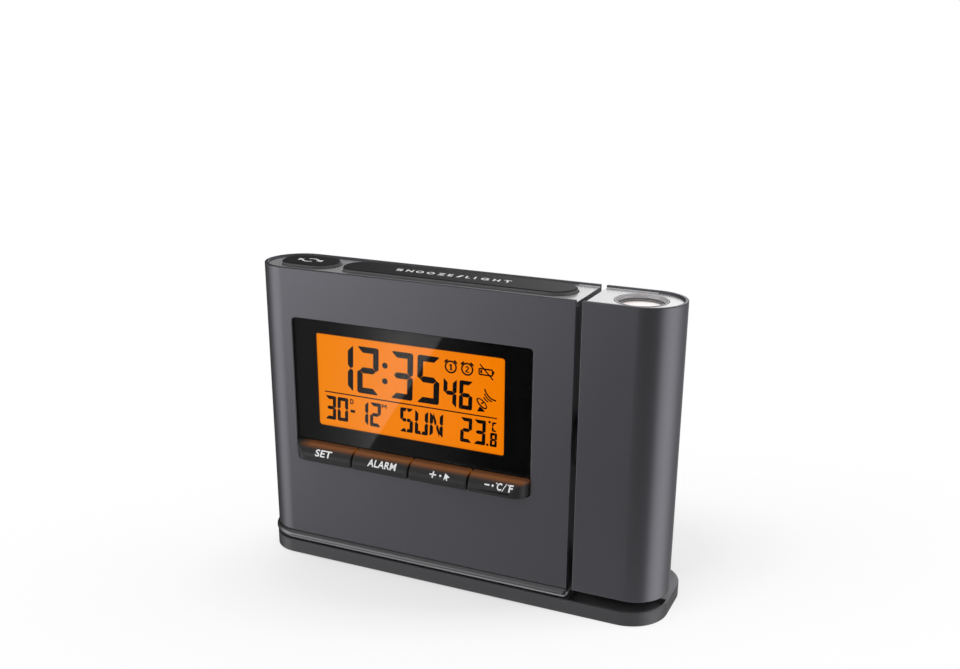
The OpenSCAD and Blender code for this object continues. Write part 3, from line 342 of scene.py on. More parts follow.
def paintedKeyGlow():
    # painted light: an amber glow on the rounded top of the front keys, standing for the display's light
    # falling on them; places in mm
    look = {"amber": (0.115, 0.033, 0.002),
            "height": [(43.2, 0.0), (43.8, 0.06), (44.35, 0.6), (44.8, 1.37), (45.12, 1.27), (45.33, 0.62),
                       (45.42, 0.72)],
            "along": [(-57.5, 0.0), (-56.4, 0.0), (-51.5, 1.0), (28.5, 1.0), (30.3, 0.3)]}
    tree = finishOf["frontKey"].node_tree
    shader = shaderOf(tree)
    axes = axesOf(tree, objectPlace(tree))
    quarter = crossed(tree, (axes, "Z", look["height"], mm), (axes, "X", look["along"], mm))
    lit = (*shade(look["amber"], 4), 1)
    glow = newNode(tree, "ShaderNodeMix", data_type="RGBA")
    fill(glow, {6: (0, 0, 0, 1), 7: lit})
    feed(tree, quarter, glow.inputs[0])
    join(tree, glow, 2, shader, "Emission Color")
    fill(shader, {"Emission Strength": 1.0})


def paintedPlateLight():
    # painted light: the base colour is made lighter on the up-facing open top of the foot beside the arm
    look = {"right": [(68.0, 0.0), (73.0, 1.7)], "up": [(0.5, 0.0), (0.95, 1.0)]}
    tree = finishOf["footPaint"].node_tree
    shader = shaderOf(tree)
    tint = shader.inputs["Base Color"].links[0].from_node
    place = axesOf(tree, objectPlace(tree))
    facing = axesOf(tree, tree.nodes.new("ShaderNodeNewGeometry"), "Normal")
    quarter = crossed(tree, (place, "X", look["right"], mm), (facing, "Z", look["up"]))
    share = combine(tree, "MULTIPLY_ADD", quarter, 4.0, 1.0)
    join(tree, dimmed(tree, tint, "Color", share), "Vector", shader, "Base Color")


def boardFinish():
    # green solder mask over copper tracks
    look = {"pitch": 2.4, "track": (0.03, 0.19, 0.07), "mask": (0.012, 0.09, 0.035), "edge": (0.06, 0.12),
            "rough": 0.35, "coat": 0.4}
    made, tree, shader = newMaterial("circuitBoard")
    tracks = newNode(tree, "ShaderNodeTexVoronoi", distance="MANHATTAN", feature="DISTANCE_TO_EDGE")
    join(tree, objectPlace(tree), "Vector", fill(tracks, {"Scale": 1 / (look["pitch"] * mm)}), "Vector")
    tint = blendColours(tree, tracks, "Distance", list(zip(look["edge"], (look["track"], look["mask"]))))
    join(tree, tint, "Color", shader, "Base Color")
    addBump(tree, shader, tracks, "Distance", 0.03, 0.4)
    fill(shader, {"Roughness": look["rough"], "Coat Weight": look["coat"]})
    return made


def cellFinish():
    # a cell's printed sleeve: black body, copper coloured band at one end, bare metal at both
    steel, black, copper = (0.6, 0.6, 0.6), (0.02, 0.02, 0.022), (0.62, 0.3, 0.1)
    look = {"bands": [(0.0, (0.55, 0.55, 0.56)), (0.03, black), (0.7, black), (0.72, copper), (0.965, copper),
                      (0.975, steel)],
            "grain": 0.4, "rough": (0.22, 0.3), "metal": 0.35}
    made, tree, shader = newMaterial("cellSleeve")
    place = objectPlace(tree)
    low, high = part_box("battery_cells")
    along = newNode(tree, "ShaderNodeMapRange", {"From Min": low.x, "From Max": high.x})
    join(tree, axesOf(tree, place), "X", along, "Value")
    bands = blendColours(tree, along, "Result", look["bands"])
    bands.color_ramp.interpolation = "CONSTANT"
    join(tree, bands, "Color", shader, "Base Color")
    gloss = spread(tree, noise(tree, place, look["grain"]), *look["rough"])
    join(tree, gloss, "Result", shader, "Roughness")
    fill(shader, {"Metallic": look["metal"]})
    return made


def printInk(name, colour, specular):
    return mouldedFinish(name, {"colour": colour, "rough": 0.5, "cloudy": 0.03, "cloudSize": 3,
                                "grain": (0.1, 0.002), "specular": specular})


finishOf["orangeDisplay"] = lcdFinish()
finishOf["circuitBoard"] = boardFinish()
finishOf["glowPaintedCell"] = glowPaintedCellFinish()
finishOf["cellSleeve"] = cellFinish()
finishOf["segmentInk"] = printInk("segmentInk", (0.003, 0.002, 0.0015), 0.05)
finishOf["whitePrint"] = printInk("whitePrint", (0.88, 0.88, 0.88), 0.5)
paintedKeyGlow()
paintedPlateLight()

nodeFinish = {
    "casePaint": ["housing", "arm_housing"],
    "footPaint": ["base_plate"],
    "beadPaint": ["foot_collar"],
    "backPlastic": ["arm_bottom_cap", "battery_door", "hinge_shaft"],
    "silverPaint": ["top_panel", "arm_top_panel"],
    "ringPaint": ["focus_ring"],
    "padRubber": ["foot_pads"],
    "steel": ["base_screws", "frame_screws", "shaft_screws", "projector_screws", "friction_washer",
              "battery_contacts", "hinge_nut"],
    "paneClear": ["display_window"],
    "blackFrame": ["display_bezel", "dc_jack"],
    "orangeDisplay": ["lcd_panel"],
    "lightGuide": ["backlight_panel"],
    "amberClear": ["backlight_leds"],
    "whitePlastic": ["lcd_holder", "chassis", "led_board"],
    "elastomer": ["zebra_strip"],
    "circuitBoard": ["main_pcb", "top_board", "arm_pcb"],
    "chipBlack": ["pcb_chips"],
    "switchGrey": ["key_switches", "top_switches"],
    "frontKey": ["set_key", "alarm_key", "plus_key", "minus_key"],
    "topKey": ["flip_key", "snooze_key"],
    "trayPlastic": ["battery_tray", "hinge_bush"],
    "cellSleeve": ["battery_cells"],
    "resetGrey": ["reset_button"],
    "brass": ["buzzer"],
    "ferrite": ["radio_antenna"],
    "sensorBlue": ["temp_sensor"],
    "wireRed": ["hinge_wires"],
    "tubeBlack": ["projector_tube", "lens_cell"],
    "redClear": ["projector_led"],
    "lensClear": ["condenser_lens", "projection_lcd"],
    "lensGlowPainted": ["projector_lens"],
}
for finish, names in nodeFinish.items():
    for name in names:
        slots = nodes[name].data.materials
        slots.clear()
        slots.append(finishOf[finish])
print("finishes on every node")


softEdges = {
    # node: (body, material, edge radius in mm, steps, name of the piece)
    "housing": ("clock_body", "casePaint", 0.22, 3, "bodyShell"),
    "arm_housing": ("projector_arm", "casePaint", 0.22, 3, "armShell"),
    "base_plate": ("clock_body", "footPaint", 0.16, 3, "footPlate"),
    "foot_collar": ("clock_body", "beadPaint", 0.1, 2, "footBead"),
    "top_panel": ("clock_body", "silverPaint", 0.15, 2, "topPlate"),
    "arm_top_panel": ("projector_arm", "silverPaint", 0.15, 2, "armTopPlate"),
    **{key + "_key": (key + "_key", "frontKey", 0.34, 4, key + "KeyCap")
       for key in ("set", "alarm", "plus", "minus")},
    **{key + "_key": (key + "_key", "topKey", 0.45, 4, key + "KeyCap") for key in ("flip", "snooze")},
    "battery_door": ("battery_door", "backPlastic", 0.2, 2, "doorPanel"),
    "display_window": ("clock_body", "paneClear", 0.1, 2, "windowPane"),
    "focus_ring": ("focus_ring", "ringPaint", 0.08, 2, "focusRing"),
    "lens_cell": ("lens_cell", "tubeBlack", 0.08, 2, "lensCell"),
    "arm_bottom_cap": ("projector_arm", "backPlastic", 0.2, 2, "armCap"),
    "foot_pads": ("clock_body", "padRubber", 0.25, 3, "rubberPads"),
    "reset_button": ("reset_button", "resetGrey", 0.2, 2, "resetButton"),
    "dc_jack": ("clock_body", "blackFrame", 0.15, 2, "powerInlet"),
}


def finishMesh(name, mesh, material, sharp=30):
    mesh.materials.clear()
    mesh.materials.append(material)
    for face in mesh.polygons:
        face.use_smooth = True
    mesh.set_sharp_from_angle(angle=math.radians(sharp))
    return newObject(name, mesh)


def meshOf(bm, name):
    mesh = bpy.data.meshes.new(name)
    bm.to_mesh(mesh)
    bm.free()
    return mesh


def baked(piece):
    # the evaluated mesh as a plain mesh, with no modifier left
    graph = bpy.context.evaluated_depsgraph_get()
    mesh = bpy.data.meshes.new_from_object(piece.evaluated_get(graph))
    piece.modifiers.clear()
    piece.data = mesh
    return piece


def mount(piece, body):
    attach(piece, body)
    return piece


ringLow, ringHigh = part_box("focus_ring")
lensX, lensY = ((ringLow[i] + ringHigh[i]) / 2 / mm for i in (0, 1))


def fromLens(c):
    return math.hypot(c.x - lensX, c.y - lensY)


lensLight = {
    # the ring's bore has a painted glow up to one radius and painted shade up to the next; heights and radii
    # in mm
    "bore": 7.15,
    "step": 7.5,
    "ringFoot": 97,
    "stepFoot": 103,
    "cellFace": 102.2,
    "cellWallFoot": 100.7,
    "cellWall": 6.6,
}
endFace = 0.3  # mm from a panel's end that still counts as its end
secondFinish = {
    # node: [(finish, test of a face's normal and centre in mm)]
    # painted shade: the silver panels' end faces in the gap between body and arm take the dark case paint
    "top_panel": [("casePaint", lambda n, c: n.x > 0.9 and c.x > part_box("top_panel")[1].x / mm - endFace)],
    "arm_top_panel": [("casePaint", lambda n, c: n.x < -0.9
                       and c.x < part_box("arm_top_panel")[0].x / mm + endFace)],
    # the top keys' sides take the painted reflection
    "flip_key": [("skirtSheenPaint", lambda n, c: abs(n.z) < 0.5)],
    "snooze_key": [("skirtSheenPaint", lambda n, c: abs(n.z) < 0.5)],
    "focus_ring": [("glowPaintedCell", lambda n, c: fromLens(c) < lensLight["bore"]
                    and c.z > lensLight["ringFoot"] and abs(n.z) < 0.5),
                   # the ring's step faces take the painted shade
                   ("ringShade", lambda n, c: lensLight["bore"] < fromLens(c) < lensLight["step"]
                    and c.z > lensLight["stepFoot"] and abs(n.z) < 0.5)],
    "lens_cell": [("glowPaintedCell", lambda n, c: c.z > lensLight["cellFace"]
                   or (c.z > lensLight["cellWallFoot"] and fromLens(c) < lensLight["cellWall"]))],
}


soften = {
    "merge": 0.0005,  # mm
    "flat": 0.4,  # degrees: faces that are flatter are joined
    "fineFlat": 0.02,  # the same for the round pieces at the lens
    "sharp": 32,  # degrees: edges above this are rounded
    "keyGap": 0.3,  # mm by which a front key is narrower
}


def softCopy(node, body, finish, radius, steps, name):
    bm = bmesh.new()
    bm.from_mesh(nodes[node].data)
    bmesh.ops.remove_doubles(bm, verts=bm.verts, dist=soften["merge"] * mm)
    limit = soften["fineFlat" if node in ("focus_ring", "lens_cell") else "flat"]
    bmesh.ops.dissolve_limit(bm, angle_limit=math.radians(limit), verts=bm.verts, edges=bm.edges)
    bmesh.ops.recalc_face_normals(bm, faces=bm.faces)
    if finish == "frontKey":
        low, high = (corner.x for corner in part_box(node))
        for v in bm.verts:
            v.co.x += (0.5 - (v.co.x - low) / (high - low)) * soften["keyGap"] * mm
    piece = finishMesh(name, meshOf(bm, name), finishOf[finish])
    bevel = piece.modifiers.new("edge", "BEVEL")
    bevel.width = radius * mm
    bevel.segments = steps
    bevel.limit_method = "ANGLE"
    bevel.angle_limit = math.radians(soften["sharp"])
    bevel.use_clamp_overlap = False
    bevel.miter_outer = "MITER_ARC"
    level = piece.modifiers.new("level", "WEIGHTED_NORMAL")
    level.keep_sharp = True
    baked(piece)
    for i, (second, test) in enumerate(secondFinish.get(node, ())):
        piece.data.materials.append(finishOf[second])
        for face in piece.data.polygons:
            if test(face.normal, face.center / mm):
                face.material_index = i + 1
    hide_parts(node)
    mount(piece, body)


for node, spec in softEdges.items():
    softCopy(node, *spec)
print("softened shells:", len(softEdges))


def newTree(name, inputs):
    # a geometry tree with named inputs; gives the tree and its group input
    tree = bpy.data.node_groups.new(name, "GeometryNodeTree")
    tree.interface.new_socket("Geometry", in_out="INPUT", socket_type="NodeSocketGeometry")
    for label, kind in inputs:
        tree.interface.new_socket(label, in_out="INPUT", socket_type="NodeSocket" + kind)
    tree.interface.new_socket("Geometry", in_out="OUTPUT", socket_type="NodeSocketGeometry")
    return tree, tree.nodes.new("NodeGroupInput")


def endTree(tree, last, material):
    whole = join(tree, last, 0, tree.nodes.new("GeometryNodeRealizeInstances"), 0)
    painted = newNode(tree, "GeometryNodeSetMaterial", {"Material": material})
    join(tree, whole, 0, painted, "Geometry")
    join(tree, painted, 0, tree.nodes.new("NodeGroupOutput"), 0)


def grown(name, tree, values, finish):
    # runs the tree on an empty mesh and keeps the result as a plain mesh
    piece = newObject(name, bpy.data.meshes.new(name))
    modifier = piece.modifiers.new("grow", "NODES")
    modifier.node_group = tree
    for item in tree.interface.items_tree:
        if item.in_out == "INPUT" and item.name in values:
            modifier[item.identifier] = values[item.name]
    baked(piece)
    mesh = piece.data
    bpy.data.objects.remove(piece)
    return finishMesh(name, mesh, finishOf[finish], 40)


def laidDown(tree, standing):
    # from along z to along x
    laid = newNode(tree, "GeometryNodeTransform", {"Rotation": (0, math.pi / 2, 0)})
    return join(tree, standing, 0, laid, "Geometry")


def rowTree(material):
    # round bars along x, one above the other
    tree, given = newTree("barRow", (("Count", "Int"), ("Start", "Vector"), ("Step", "Vector"),
                                     ("Radius", "Float"), ("Length", "Float")))
    line = tree.nodes.new("GeometryNodeMeshLine")
    for label, socket in (("Count", "Count"), ("Start", "Start Location"), ("Step", "Offset")):
        join(tree, given, label, line, socket)
    rod = newNode(tree, "GeometryNodeMeshCylinder", {"Vertices": 16})
    join(tree, given, "Radius", rod, "Radius")
    join(tree, given, "Length", rod, "Depth")
    rows = join(tree, line, 0, tree.nodes.new("GeometryNodeInstanceOnPoints"), "Points")
    join(tree, laidDown(tree, rod), 0, rows, "Instance")
    endTree(tree, rows, material)
    return tree


def windingTree(material):
    # a wire wound round an axis along x
    tree, given = newTree("winding", (("Turns", "Float"), ("Radius", "Float"), ("Length", "Float"),
                                      ("Wire", "Float"), ("Start", "Vector")))
    coil = newNode(tree, "GeometryNodeCurveSpiral", {"Resolution": 20})
    for label, socket in (("Turns", "Rotations"), ("Radius", "Start Radius"), ("Radius", "End Radius"),
                          ("Length", "Height")):
        join(tree, given, label, coil, socket)
    section = newNode(tree, "GeometryNodeCurvePrimitiveCircle", {"Resolution": 6})
    join(tree, given, "Wire", section, "Radius")
    wire = join(tree, coil, 0, newNode(tree, "GeometryNodeCurveToMesh", {"Fill Caps": True}), "Curve")
    join(tree, section, 0, wire, "Profile Curve")
    laid = laidDown(tree, wire)
    join(tree, given, "Start", laid, "Translation")
    endTree(tree, laid, material)
    return tree


doorRibs = {
    "Count": 6,
    "Start": Vector((-25.825, 7.32, 19.2)) * mm,
    "Step": Vector((0, 0, 1.5)) * mm,
    "Radius": 0.4 * mm,
    "Length": 17 * mm,
}
ribs = grown("doorRibs", rowTree(finishOf["backPlastic"]), doorRibs, "backPlastic")
mount(ribs, "battery_door")

rodLow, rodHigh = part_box("radio_antenna")
winding = {
    "Turns": 44.0,
    "Radius": (rodHigh.z - rodLow.z) / 2 + 0.1 * mm,
    "Length": 15.4 * mm,
    "Wire": 0.16 * mm,
    "Start": Vector((rodLow.x + 17.3 * mm, (rodLow.y + rodHigh.y) / 2, (rodLow.z + rodHigh.z) / 2)),
}
coil = grown("antennaWinding", windingTree(finishOf["copper"]), winding, "copper")
mount(coil, "clock_body")
print("ribs and winding grown:", len(ribs.data.polygons), len(coil.data.polygons), "faces")


display = {
    "ink": 0.03,  # thickness of a segment, mm
    "face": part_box("lcd_panel")[0].y / mm,  # front of the glass
    "lean": 0.035,
    "gap": 0.01,
    "shift": (0.26, 0.07),  # mm, for how the pane bends the view of it
    "rows": [
        # each sign with its right edge at its middle height
        {"bottom": 65.4, "height": 16.55, "width": 8.2, "stroke": 2.1,
         "signs": (("1", -35.9), ("2", -26.1), ("3", -13.1), ("5", -3.3))},
        {"bottom": 65.4, "height": 9.9, "width": 4.8, "stroke": 1.45, "signs": (("4", 2.9), ("6", 8.65))},
        {"bottom": 53.97, "height": 8.65, "width": 4.2, "stroke": 1.25,
         "signs": (("3", -43.3), ("0", -38.45), ("1", -30.5), ("2", -25.6), ("2", 8.5), ("3", 13.4))},
        {"bottom": 53.97, "height": 8.65, "width": 4.9, "stroke": 1.25,
         "signs": (("S", -13.3), ("U", -7.65), ("N", -2.1))},
        {"bottom": 54.0, "height": 4.85, "width": 2.45, "stroke": 0.85, "signs": (("8", 17.45),)},
        {"bottom": 59.3, "height": 3.25, "width": 1.75, "stroke": 0.62, "signs": (("C", 17.4),)},
    ],
    "dots": ((-23.6, 76.4, 1.05, 24), (-23.75, 70.9, 1.05, 24), (14.8, 62.4, 0.45, 12)),
    # the decimal point, the dash in the date and the line across
    "bars": ((13.65, 54.4, 14.45, 54.4, 0.8), (-37.5, 58.23, -35.7, 58.23, 1.0),
             (-47.5, 64.0, 17.4, 64.0, 0.42)),
    "alarms": ((0.84, 79.28, 1), (6.72, 79.28, 2)),
    "battery": (10.95, 78.2, 15.65, 80.15),
    "radio": (12.0, 68.4),
    # small D and M beside the date
    "dayBow": (-37.15, 61.7, 0.8),
    "smallBars": ((-37.35, 60.8, -37.35, 62.6, 0.38), (-25.0, 61.1, -25.0, 62.6, 0.36),
                  (-24.95, 62.55, -24.25, 61.6, 0.36), (-24.25, 61.6, -23.55, 62.55, 0.36),
                  (-23.5, 62.6, -23.5, 61.1, 0.36)),
}
litBars = {
    "0": "abcdef", "1": "bc", "2": "abged", "3": "abgcd", "4": "fgbc", "5": "afgcd",
    "6": "afgcde", "8": "abcdefg", "C": "afed", "S": "klfhpcmn", "U": "febcmn", "N": "febcxy",
}


def barOutlines(row):
    # outlines of a digit's bars, lower left corner at 0, 0
    w, h, t, g = row["width"], row["height"], row["stroke"], display["gap"]
    m, cut = h / 2, 0.27 * t
    top = [(cut + g, h), (w - cut - g, h), (w - cut / 2 - g, h - cut / 2), (w - t - g, h - t),
           (t + g, h - t), (cut / 2 + g, h - cut / 2)]
    right = [(w, h - cut - g), (w, m + 0.3 * t), (w - t / 2, m + g), (w - t, m + 0.62 * t),
             (w - t, h - t - g), (w - cut / 2, h - cut / 2 - g)]
    middle = [(t / 2 + g, m), (t + g, m + t / 2), (w - t - g, m + t / 2), (w - t / 2 - g, m),
              (w - t - g, m - t / 2), (t + g, m - t / 2)]
    slant = [(t + g, h - g), (w / 2, m + 0.15 * h), (w / 2, m + g), (w / 2 - 0.5 * t, m + g),
             (t + g, h - 0.25 * h)]

    def flip(points, across, down):
        turned = [(w - x if across else x, h - z if down else z) for x, z in points]
        return turned[::-1] if across != down else turned

    half = [(cut + g, h), (w / 2 - g, h), (w / 2 - g - t / 3, h - t), (t + g, h - t),
            (cut / 2 + g, h - cut / 2)]
    midHalf = [(t / 2 + g, m), (t + g, m + t / 2), (w / 2 - g - t / 4, m + t / 2), (w / 2 - g, m),
               (w / 2 - g - t / 4, m - t / 2), (t + g, m - t / 2)]
    return {
        "a": top, "b": right, "c": flip(right, False, True), "d": flip(top, False, True),
        "e": flip(right, True, True), "f": flip(right, True, False), "g": middle,
        "k": half, "l": flip(half, True, False), "m": flip(half, False, True), "n": flip(half, True, True),
        "h": flip(midHalf, True, False), "p": midHalf, "x": slant, "y": flip(slant, True, True),
    }


def character(sign, right, row):
    bars = barOutlines(row)
    shift, mid = right - row["width"], row["height"] / 2
    return [[(shift + x + display["lean"] * (z - mid), row["bottom"] + z) for x, z in bars[key]]
            for key in litBars[sign]]


def ribbon(points, width):
    # outline of a line of even width through the points
    left, right = [], []
    for i, (x, z) in enumerate(points):
        x0, z0 = points[max(i - 1, 0)]
        x1, z1 = points[min(i + 1, len(points) - 1)]
        long = math.hypot(x1 - x0, z1 - z0)
        dx, dz = (x1 - x0) / long * width / 2, (z1 - z0) / long * width / 2
        left.append((x - dz, z + dx))
        right.append((x + dz, z - dx))
    return left + right[::-1]


def arc(x, z, radius, start, end, count=24, squash=1.0, turn=0.0):
    made = []
    for i in range(count + 1):
        angle = math.radians(start + (end - start) * i / count)
        u, v = radius * math.cos(angle), radius * squash * math.sin(angle)
        c, s = math.cos(math.radians(turn)), math.sin(math.radians(turn))
        made.append((x + u * c - v * s, z + u * s + v * c))
    return made


def disc(x, z, radius, sides=12):
    return arc(x, z, radius, 0, 360 - 360 / sides, sides - 1)


def bar(x0, z0, x1, z1, width):
    return ribbon([(x0, z0), (x1, z1)], width)


def placed(points, x, z, turn=1):
    # points moved to x, z; turn -1 turns them half round first
    return [(x + turn * u, z + turn * v) for u, v in points]


# each line of an icon: its width and its points from the icon's middle
alarmLines = {
    "face": [(0.56, arc(0, 0, 1.92, 0, 180)), (0.56, arc(0, 0, 1.92, 180, 360)),
             (0.62, [(-1.15, 2.35), (-2.25, 1.4)]), (0.62, [(1.15, 2.35), (2.25, 1.4)])],
    1: [(0.6, [(0.1, -0.85), (0.1, 1.0)]), (0.4, [(-0.45, 0.4), (-0.1, 0.75)]),
        (0.32, [(-0.5, -0.95), (0.65, -0.95)])],
    2: [(0.42, arc(0, 0.42, 0.45, 170, -50, 10) + [(-0.5, -0.8)]), (0.38, [(-0.7, -0.92), (0.75, -0.92)])],
}
radioLines = [
    # the dish, its arm and the waves that reach it
    (0.42, arc(0, 0, 2.1, 0, 180, 24, 0.44, -42)),
    (0.52, arc(0, 0, 2.1, 180, 360, 24, 0.44, -42)),
    (0.5, [(-0.2, -0.15), (0.55, 0.5)]),
    (0.5, [(1.0, 5.1), (1.15, 4.5), (1.5, 3.75), (2.15, 2.95), (3.0, 2.22), (3.85, 1.8), (5.0, 1.6)]),
    (0.44, [(0.9, 3.45), (1.4, 2.55), (2.15, 1.77), (3.0, 1.29), (3.65, 1.1)]),
    (0.44, [(0.6, 2.25), (1.1, 1.6), (1.65, 1.1), (2.3, 0.8)]),
]
radioStand = [(-1.7, -2.95), (1.2, -2.75), (0.1, -1.6), (-0.8, -1.15)]


def drawn(lines, x, z):
    return [ribbon(placed(points, x, z), width) for width, points in lines]


def batteryIcon(x0, z0, x1, z1):
    corners = [(x0, z0, 180), (x1, z0, 270), (x1, z1, 0), (x0, z1, 90)]
    bend = 0.35
    edge = []
    for x, z, start in corners:
        cx = x + (bend if x == x0 else -bend)
        cz = z + (bend if z == z0 else -bend)
        edge += arc(cx, cz, bend, start, start + 90, 6)
    middle = len(edge) // 2
    return [
        ribbon(edge[:middle + 1], 0.5), ribbon(edge[middle:] + edge[:1], 0.5),
        bar(x1 + 0.4, z0 + 0.6, x1 + 0.4, z1 - 0.3, 0.5),
        bar(x0 + 0.75, z0 + 0.45, x0 + 0.75, z1 - 0.45, 0.7),
        bar(x0 + 0.25, z1 + 1.5, x1 + 0.25, z0 - 1.35, 0.46),
    ]


def displayOutlines():
    shapes = []
    for row in display["rows"]:
        for sign, right in row["signs"]:
            shapes += character(sign, right, row)
    shapes += [disc(*dot) for dot in display["dots"]]
    shapes += [bar(*ends) for ends in display["bars"] + display["smallBars"]]
    shapes.append(ribbon(arc(*display["dayBow"], 90, -90, 12), 0.38))
    for x, z, digit in display["alarms"]:
        shapes += drawn(alarmLines["face"] + alarmLines[digit], x, z)
    shapes += batteryIcon(*display["battery"]) + drawn(radioLines, *display["radio"])
    shapes.append(placed(radioStand, *display["radio"]))
    return [placed(shape, *display["shift"]) for shape in shapes]


def thinSolids(shapes, near, far, place):
    # closed outlines as thin solids; place puts a point of an outline and a depth into space
    bm = bmesh.new()
    for shape in shapes:
        front, back = ([bm.verts.new(place(x, y, depth)) for x, y in shape] for depth in (near, far))
        bm.faces.new(front)
        bm.faces.new(back[::-1])
        for i in range(len(shape)):
            j = (i + 1) % len(shape)
            bm.faces.new((front[j], front[i], back[i], back[j]))
    bmesh.ops.recalc_face_normals(bm, faces=bm.faces)
    bmesh.ops.triangulate(bm, faces=bm.faces)
    return meshOf(bm, "outline")


def upright(x, z, y):
    return x * mm, y * mm, z * mm


def flat(x, y, z):
    return x, y, z


rimSheenStrip = {
    # painted reflection: a pale strip at the foot of the rim behind each silver panel, for the panel mirrored
    # in the rim's inner wall, mm
    "tall": 0.15,
    "thick": 0.08,
    "lift": 0.01,  # above the panel
    "gap": 0.02,  # behind the panel
    "runs": {  # body, panel, from x, to x
        "bodyRimSheen": ("clock_body", "top_panel", 36.5, 43.68),
        "armRimSheen": ("projector_arm", "arm_top_panel", 45.77, 62.8),
    },
}
for name, (body, panel, x0, x1) in rimSheenStrip["runs"].items():
    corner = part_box(panel)[1] / mm
    foot, near = corner.z + rimSheenStrip["lift"], corner.y + rimSheenStrip["gap"]
    head = foot + rimSheenStrip["tall"]
    outline = [(x0, foot), (x1, foot), (x1, head), (x0, head)]
    strip = thinSolids([outline], near, near + rimSheenStrip["thick"], upright)
    mount(finishMesh(name, strip, finishOf["paleRimSheen"]), body)

segments = thinSolids(displayOutlines(), display["face"] - display["ink"], display["face"] - 0.002, upright)
mount(finishMesh("displaySegments", segments, finishOf["segmentInk"]), "clock_body")
print("display graphics made")


printThick = 0.025  # mm


def letters(text, width, height, shear, bold, spacing=1.0):
    # a thin solid word in the x, y plane, lower left corner at 0, 0, sizes in mm
    curve = bpy.data.curves.new("word", "FONT")
    curve.body = text
    curve.shear = shear
    curve.space_character = spacing
    curve.offset = bold
    curve.resolution_u = 4
    curve.extrude = 0.01
    holder = newObject("word", curve)
    mesh = bpy.data.meshes.new_from_object(holder.evaluated_get(bpy.context.evaluated_depsgraph_get()))
    bpy.data.objects.remove(holder)
    for i, size in enumerate((width, height, printThick)):
        low = min(v.co[i] for v in mesh.vertices)
        high = max(v.co[i] for v in mesh.vertices)
        for v in mesh.vertices:
            v.co[i] = (v.co[i] - low) / (high - low) * size
    return mesh


frontKeys = {
    "face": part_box("set_key")[0].y / mm,
    "bottom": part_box("set_key")[0].z / mm,
    "top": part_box("set_key")[1].z / mm,
    "round": 4.4,
    "low": 2.35,  # from the key's lower edge up to the words
    "tall": 2.55,
    "strips": 12,  # cuts a word into strips that bend over the round
    "lean": 0.08,
    "stroke": 0.48,
    "slash": 0.26,
    "dot": 0.4,  # radius
    "ring": 0.26,  # radius of a degree sign
    "ringDrop": 0.3,  # its middle below the letters' top
    "words": {  # key, word, width, left end, boldness
        "setWord": ("set_key", "SET", 6.65, -48.85, 0.024),
        "alarmWord": ("alarm_key", "ALARM", 11.0, -27.9, 0.022),
    },
    "plusLeft": -4.3,
    "minusLeft": 15.85,
    "degrees": (4.15, 8.35),
    "units": (("C", 1.75, 4.4), ("F", 1.6, 8.5)),  # letter, width, left end
    "unitBold": 0.03,
}


def wrapOnKey(mesh, x):
    # lays a flat word on the key's front, which is upright below and a quarter round above
    arcStart = frontKeys["top"] - frontKeys["round"]
    flatPart = arcStart - frontKeys["bottom"]
    bm = bmesh.new()
    bm.from_mesh(mesh)
    bmesh.ops.triangulate(bm, faces=bm.faces)
    for i in range(1, frontKeys["strips"]):
        cut = frontKeys["tall"] * i / frontKeys["strips"]
        bmesh.ops.bisect_plane(bm, geom=bm.verts[:] + bm.edges[:] + bm.faces[:],
                               plane_co=(0, cut, 0), plane_no=(0, 1, 0))
    for v in bm.verts:
        along, up, out = x + v.co.x, frontKeys["low"] + v.co.y, v.co.z
        if up <= flatPart:
            v.co = Vector((along, frontKeys["face"] - out, frontKeys["bottom"] + up))
        else:
            angle = (up - flatPart) / frontKeys["round"]
            r = frontKeys["round"] + out
            v.co = Vector((along, frontKeys["face"] + frontKeys["round"] - r * math.cos(angle),
                           arcStart + r * math.sin(angle)))
        v.co *= mm
    bmesh.ops.recalc_face_normals(bm, faces=bm.faces)
    return meshOf(bm, "wrapped")


def merged(meshes):
    bm = bmesh.new()
    for mesh in meshes:
        bm.from_mesh(mesh)
    return meshOf(bm, "print")


def moved(mesh, dx, dy):
    for v in mesh.vertices:
        v.co.x += dx
        v.co.y += dy
    return mesh


def printOnKey(name, body, mesh, x):
    mount(finishMesh(name, wrapOnKey(mesh, x), finishOf["whitePrint"]), body)


def pointerShape(x, tall):
    # a pointer with a short tail
    return [(x, 0), (x + 0.15 * tall, tall), (x + 0.9 * tall, 0.5 * tall), (x + 0.5 * tall, 0.38 * tall),
            (x + 0.6 * tall, 0.05 * tall), (x + 0.42 * tall, 0.0), (x + 0.32 * tall, 0.3 * tall)]


def frontWords():
    tall, stroke = frontKeys["tall"], frontKeys["stroke"]
    middle = tall / 2
    for name, (key, word, width, left, bold) in frontKeys["words"].items():
        printOnKey(name, key, letters(word, width, tall, frontKeys["lean"], bold, 1.05), left)
    plus = [bar(0.1, middle, 2.5, middle, stroke), bar(1.2, 0.15, 1.4, tall - 0.15, stroke),
            disc(4.05, middle, frontKeys["dot"]), pointerShape(5.35, tall * 0.95)]
    printOnKey("plusMarks", "plus_key", thinSolids(plus, printThick, 0, flat), frontKeys["plusLeft"])
    minus = [bar(0, middle, 1.75, middle, stroke), disc(2.9, middle, frontKeys["dot"]),
             bar(6.3, -0.1, 7.65, tall + 0.1, frontKeys["slash"])]
    minus += [disc(x, tall - frontKeys["ringDrop"], frontKeys["ring"]) for x in frontKeys["degrees"]]
    units = [moved(letters(word, width, tall, frontKeys["lean"], frontKeys["unitBold"]), left, 0)
             for word, width, left in frontKeys["units"]]
    printOnKey("minusMarks", "minus_key", merged([thinSolids(minus, printThick, 0, flat), *units]),
               frontKeys["minusLeft"])


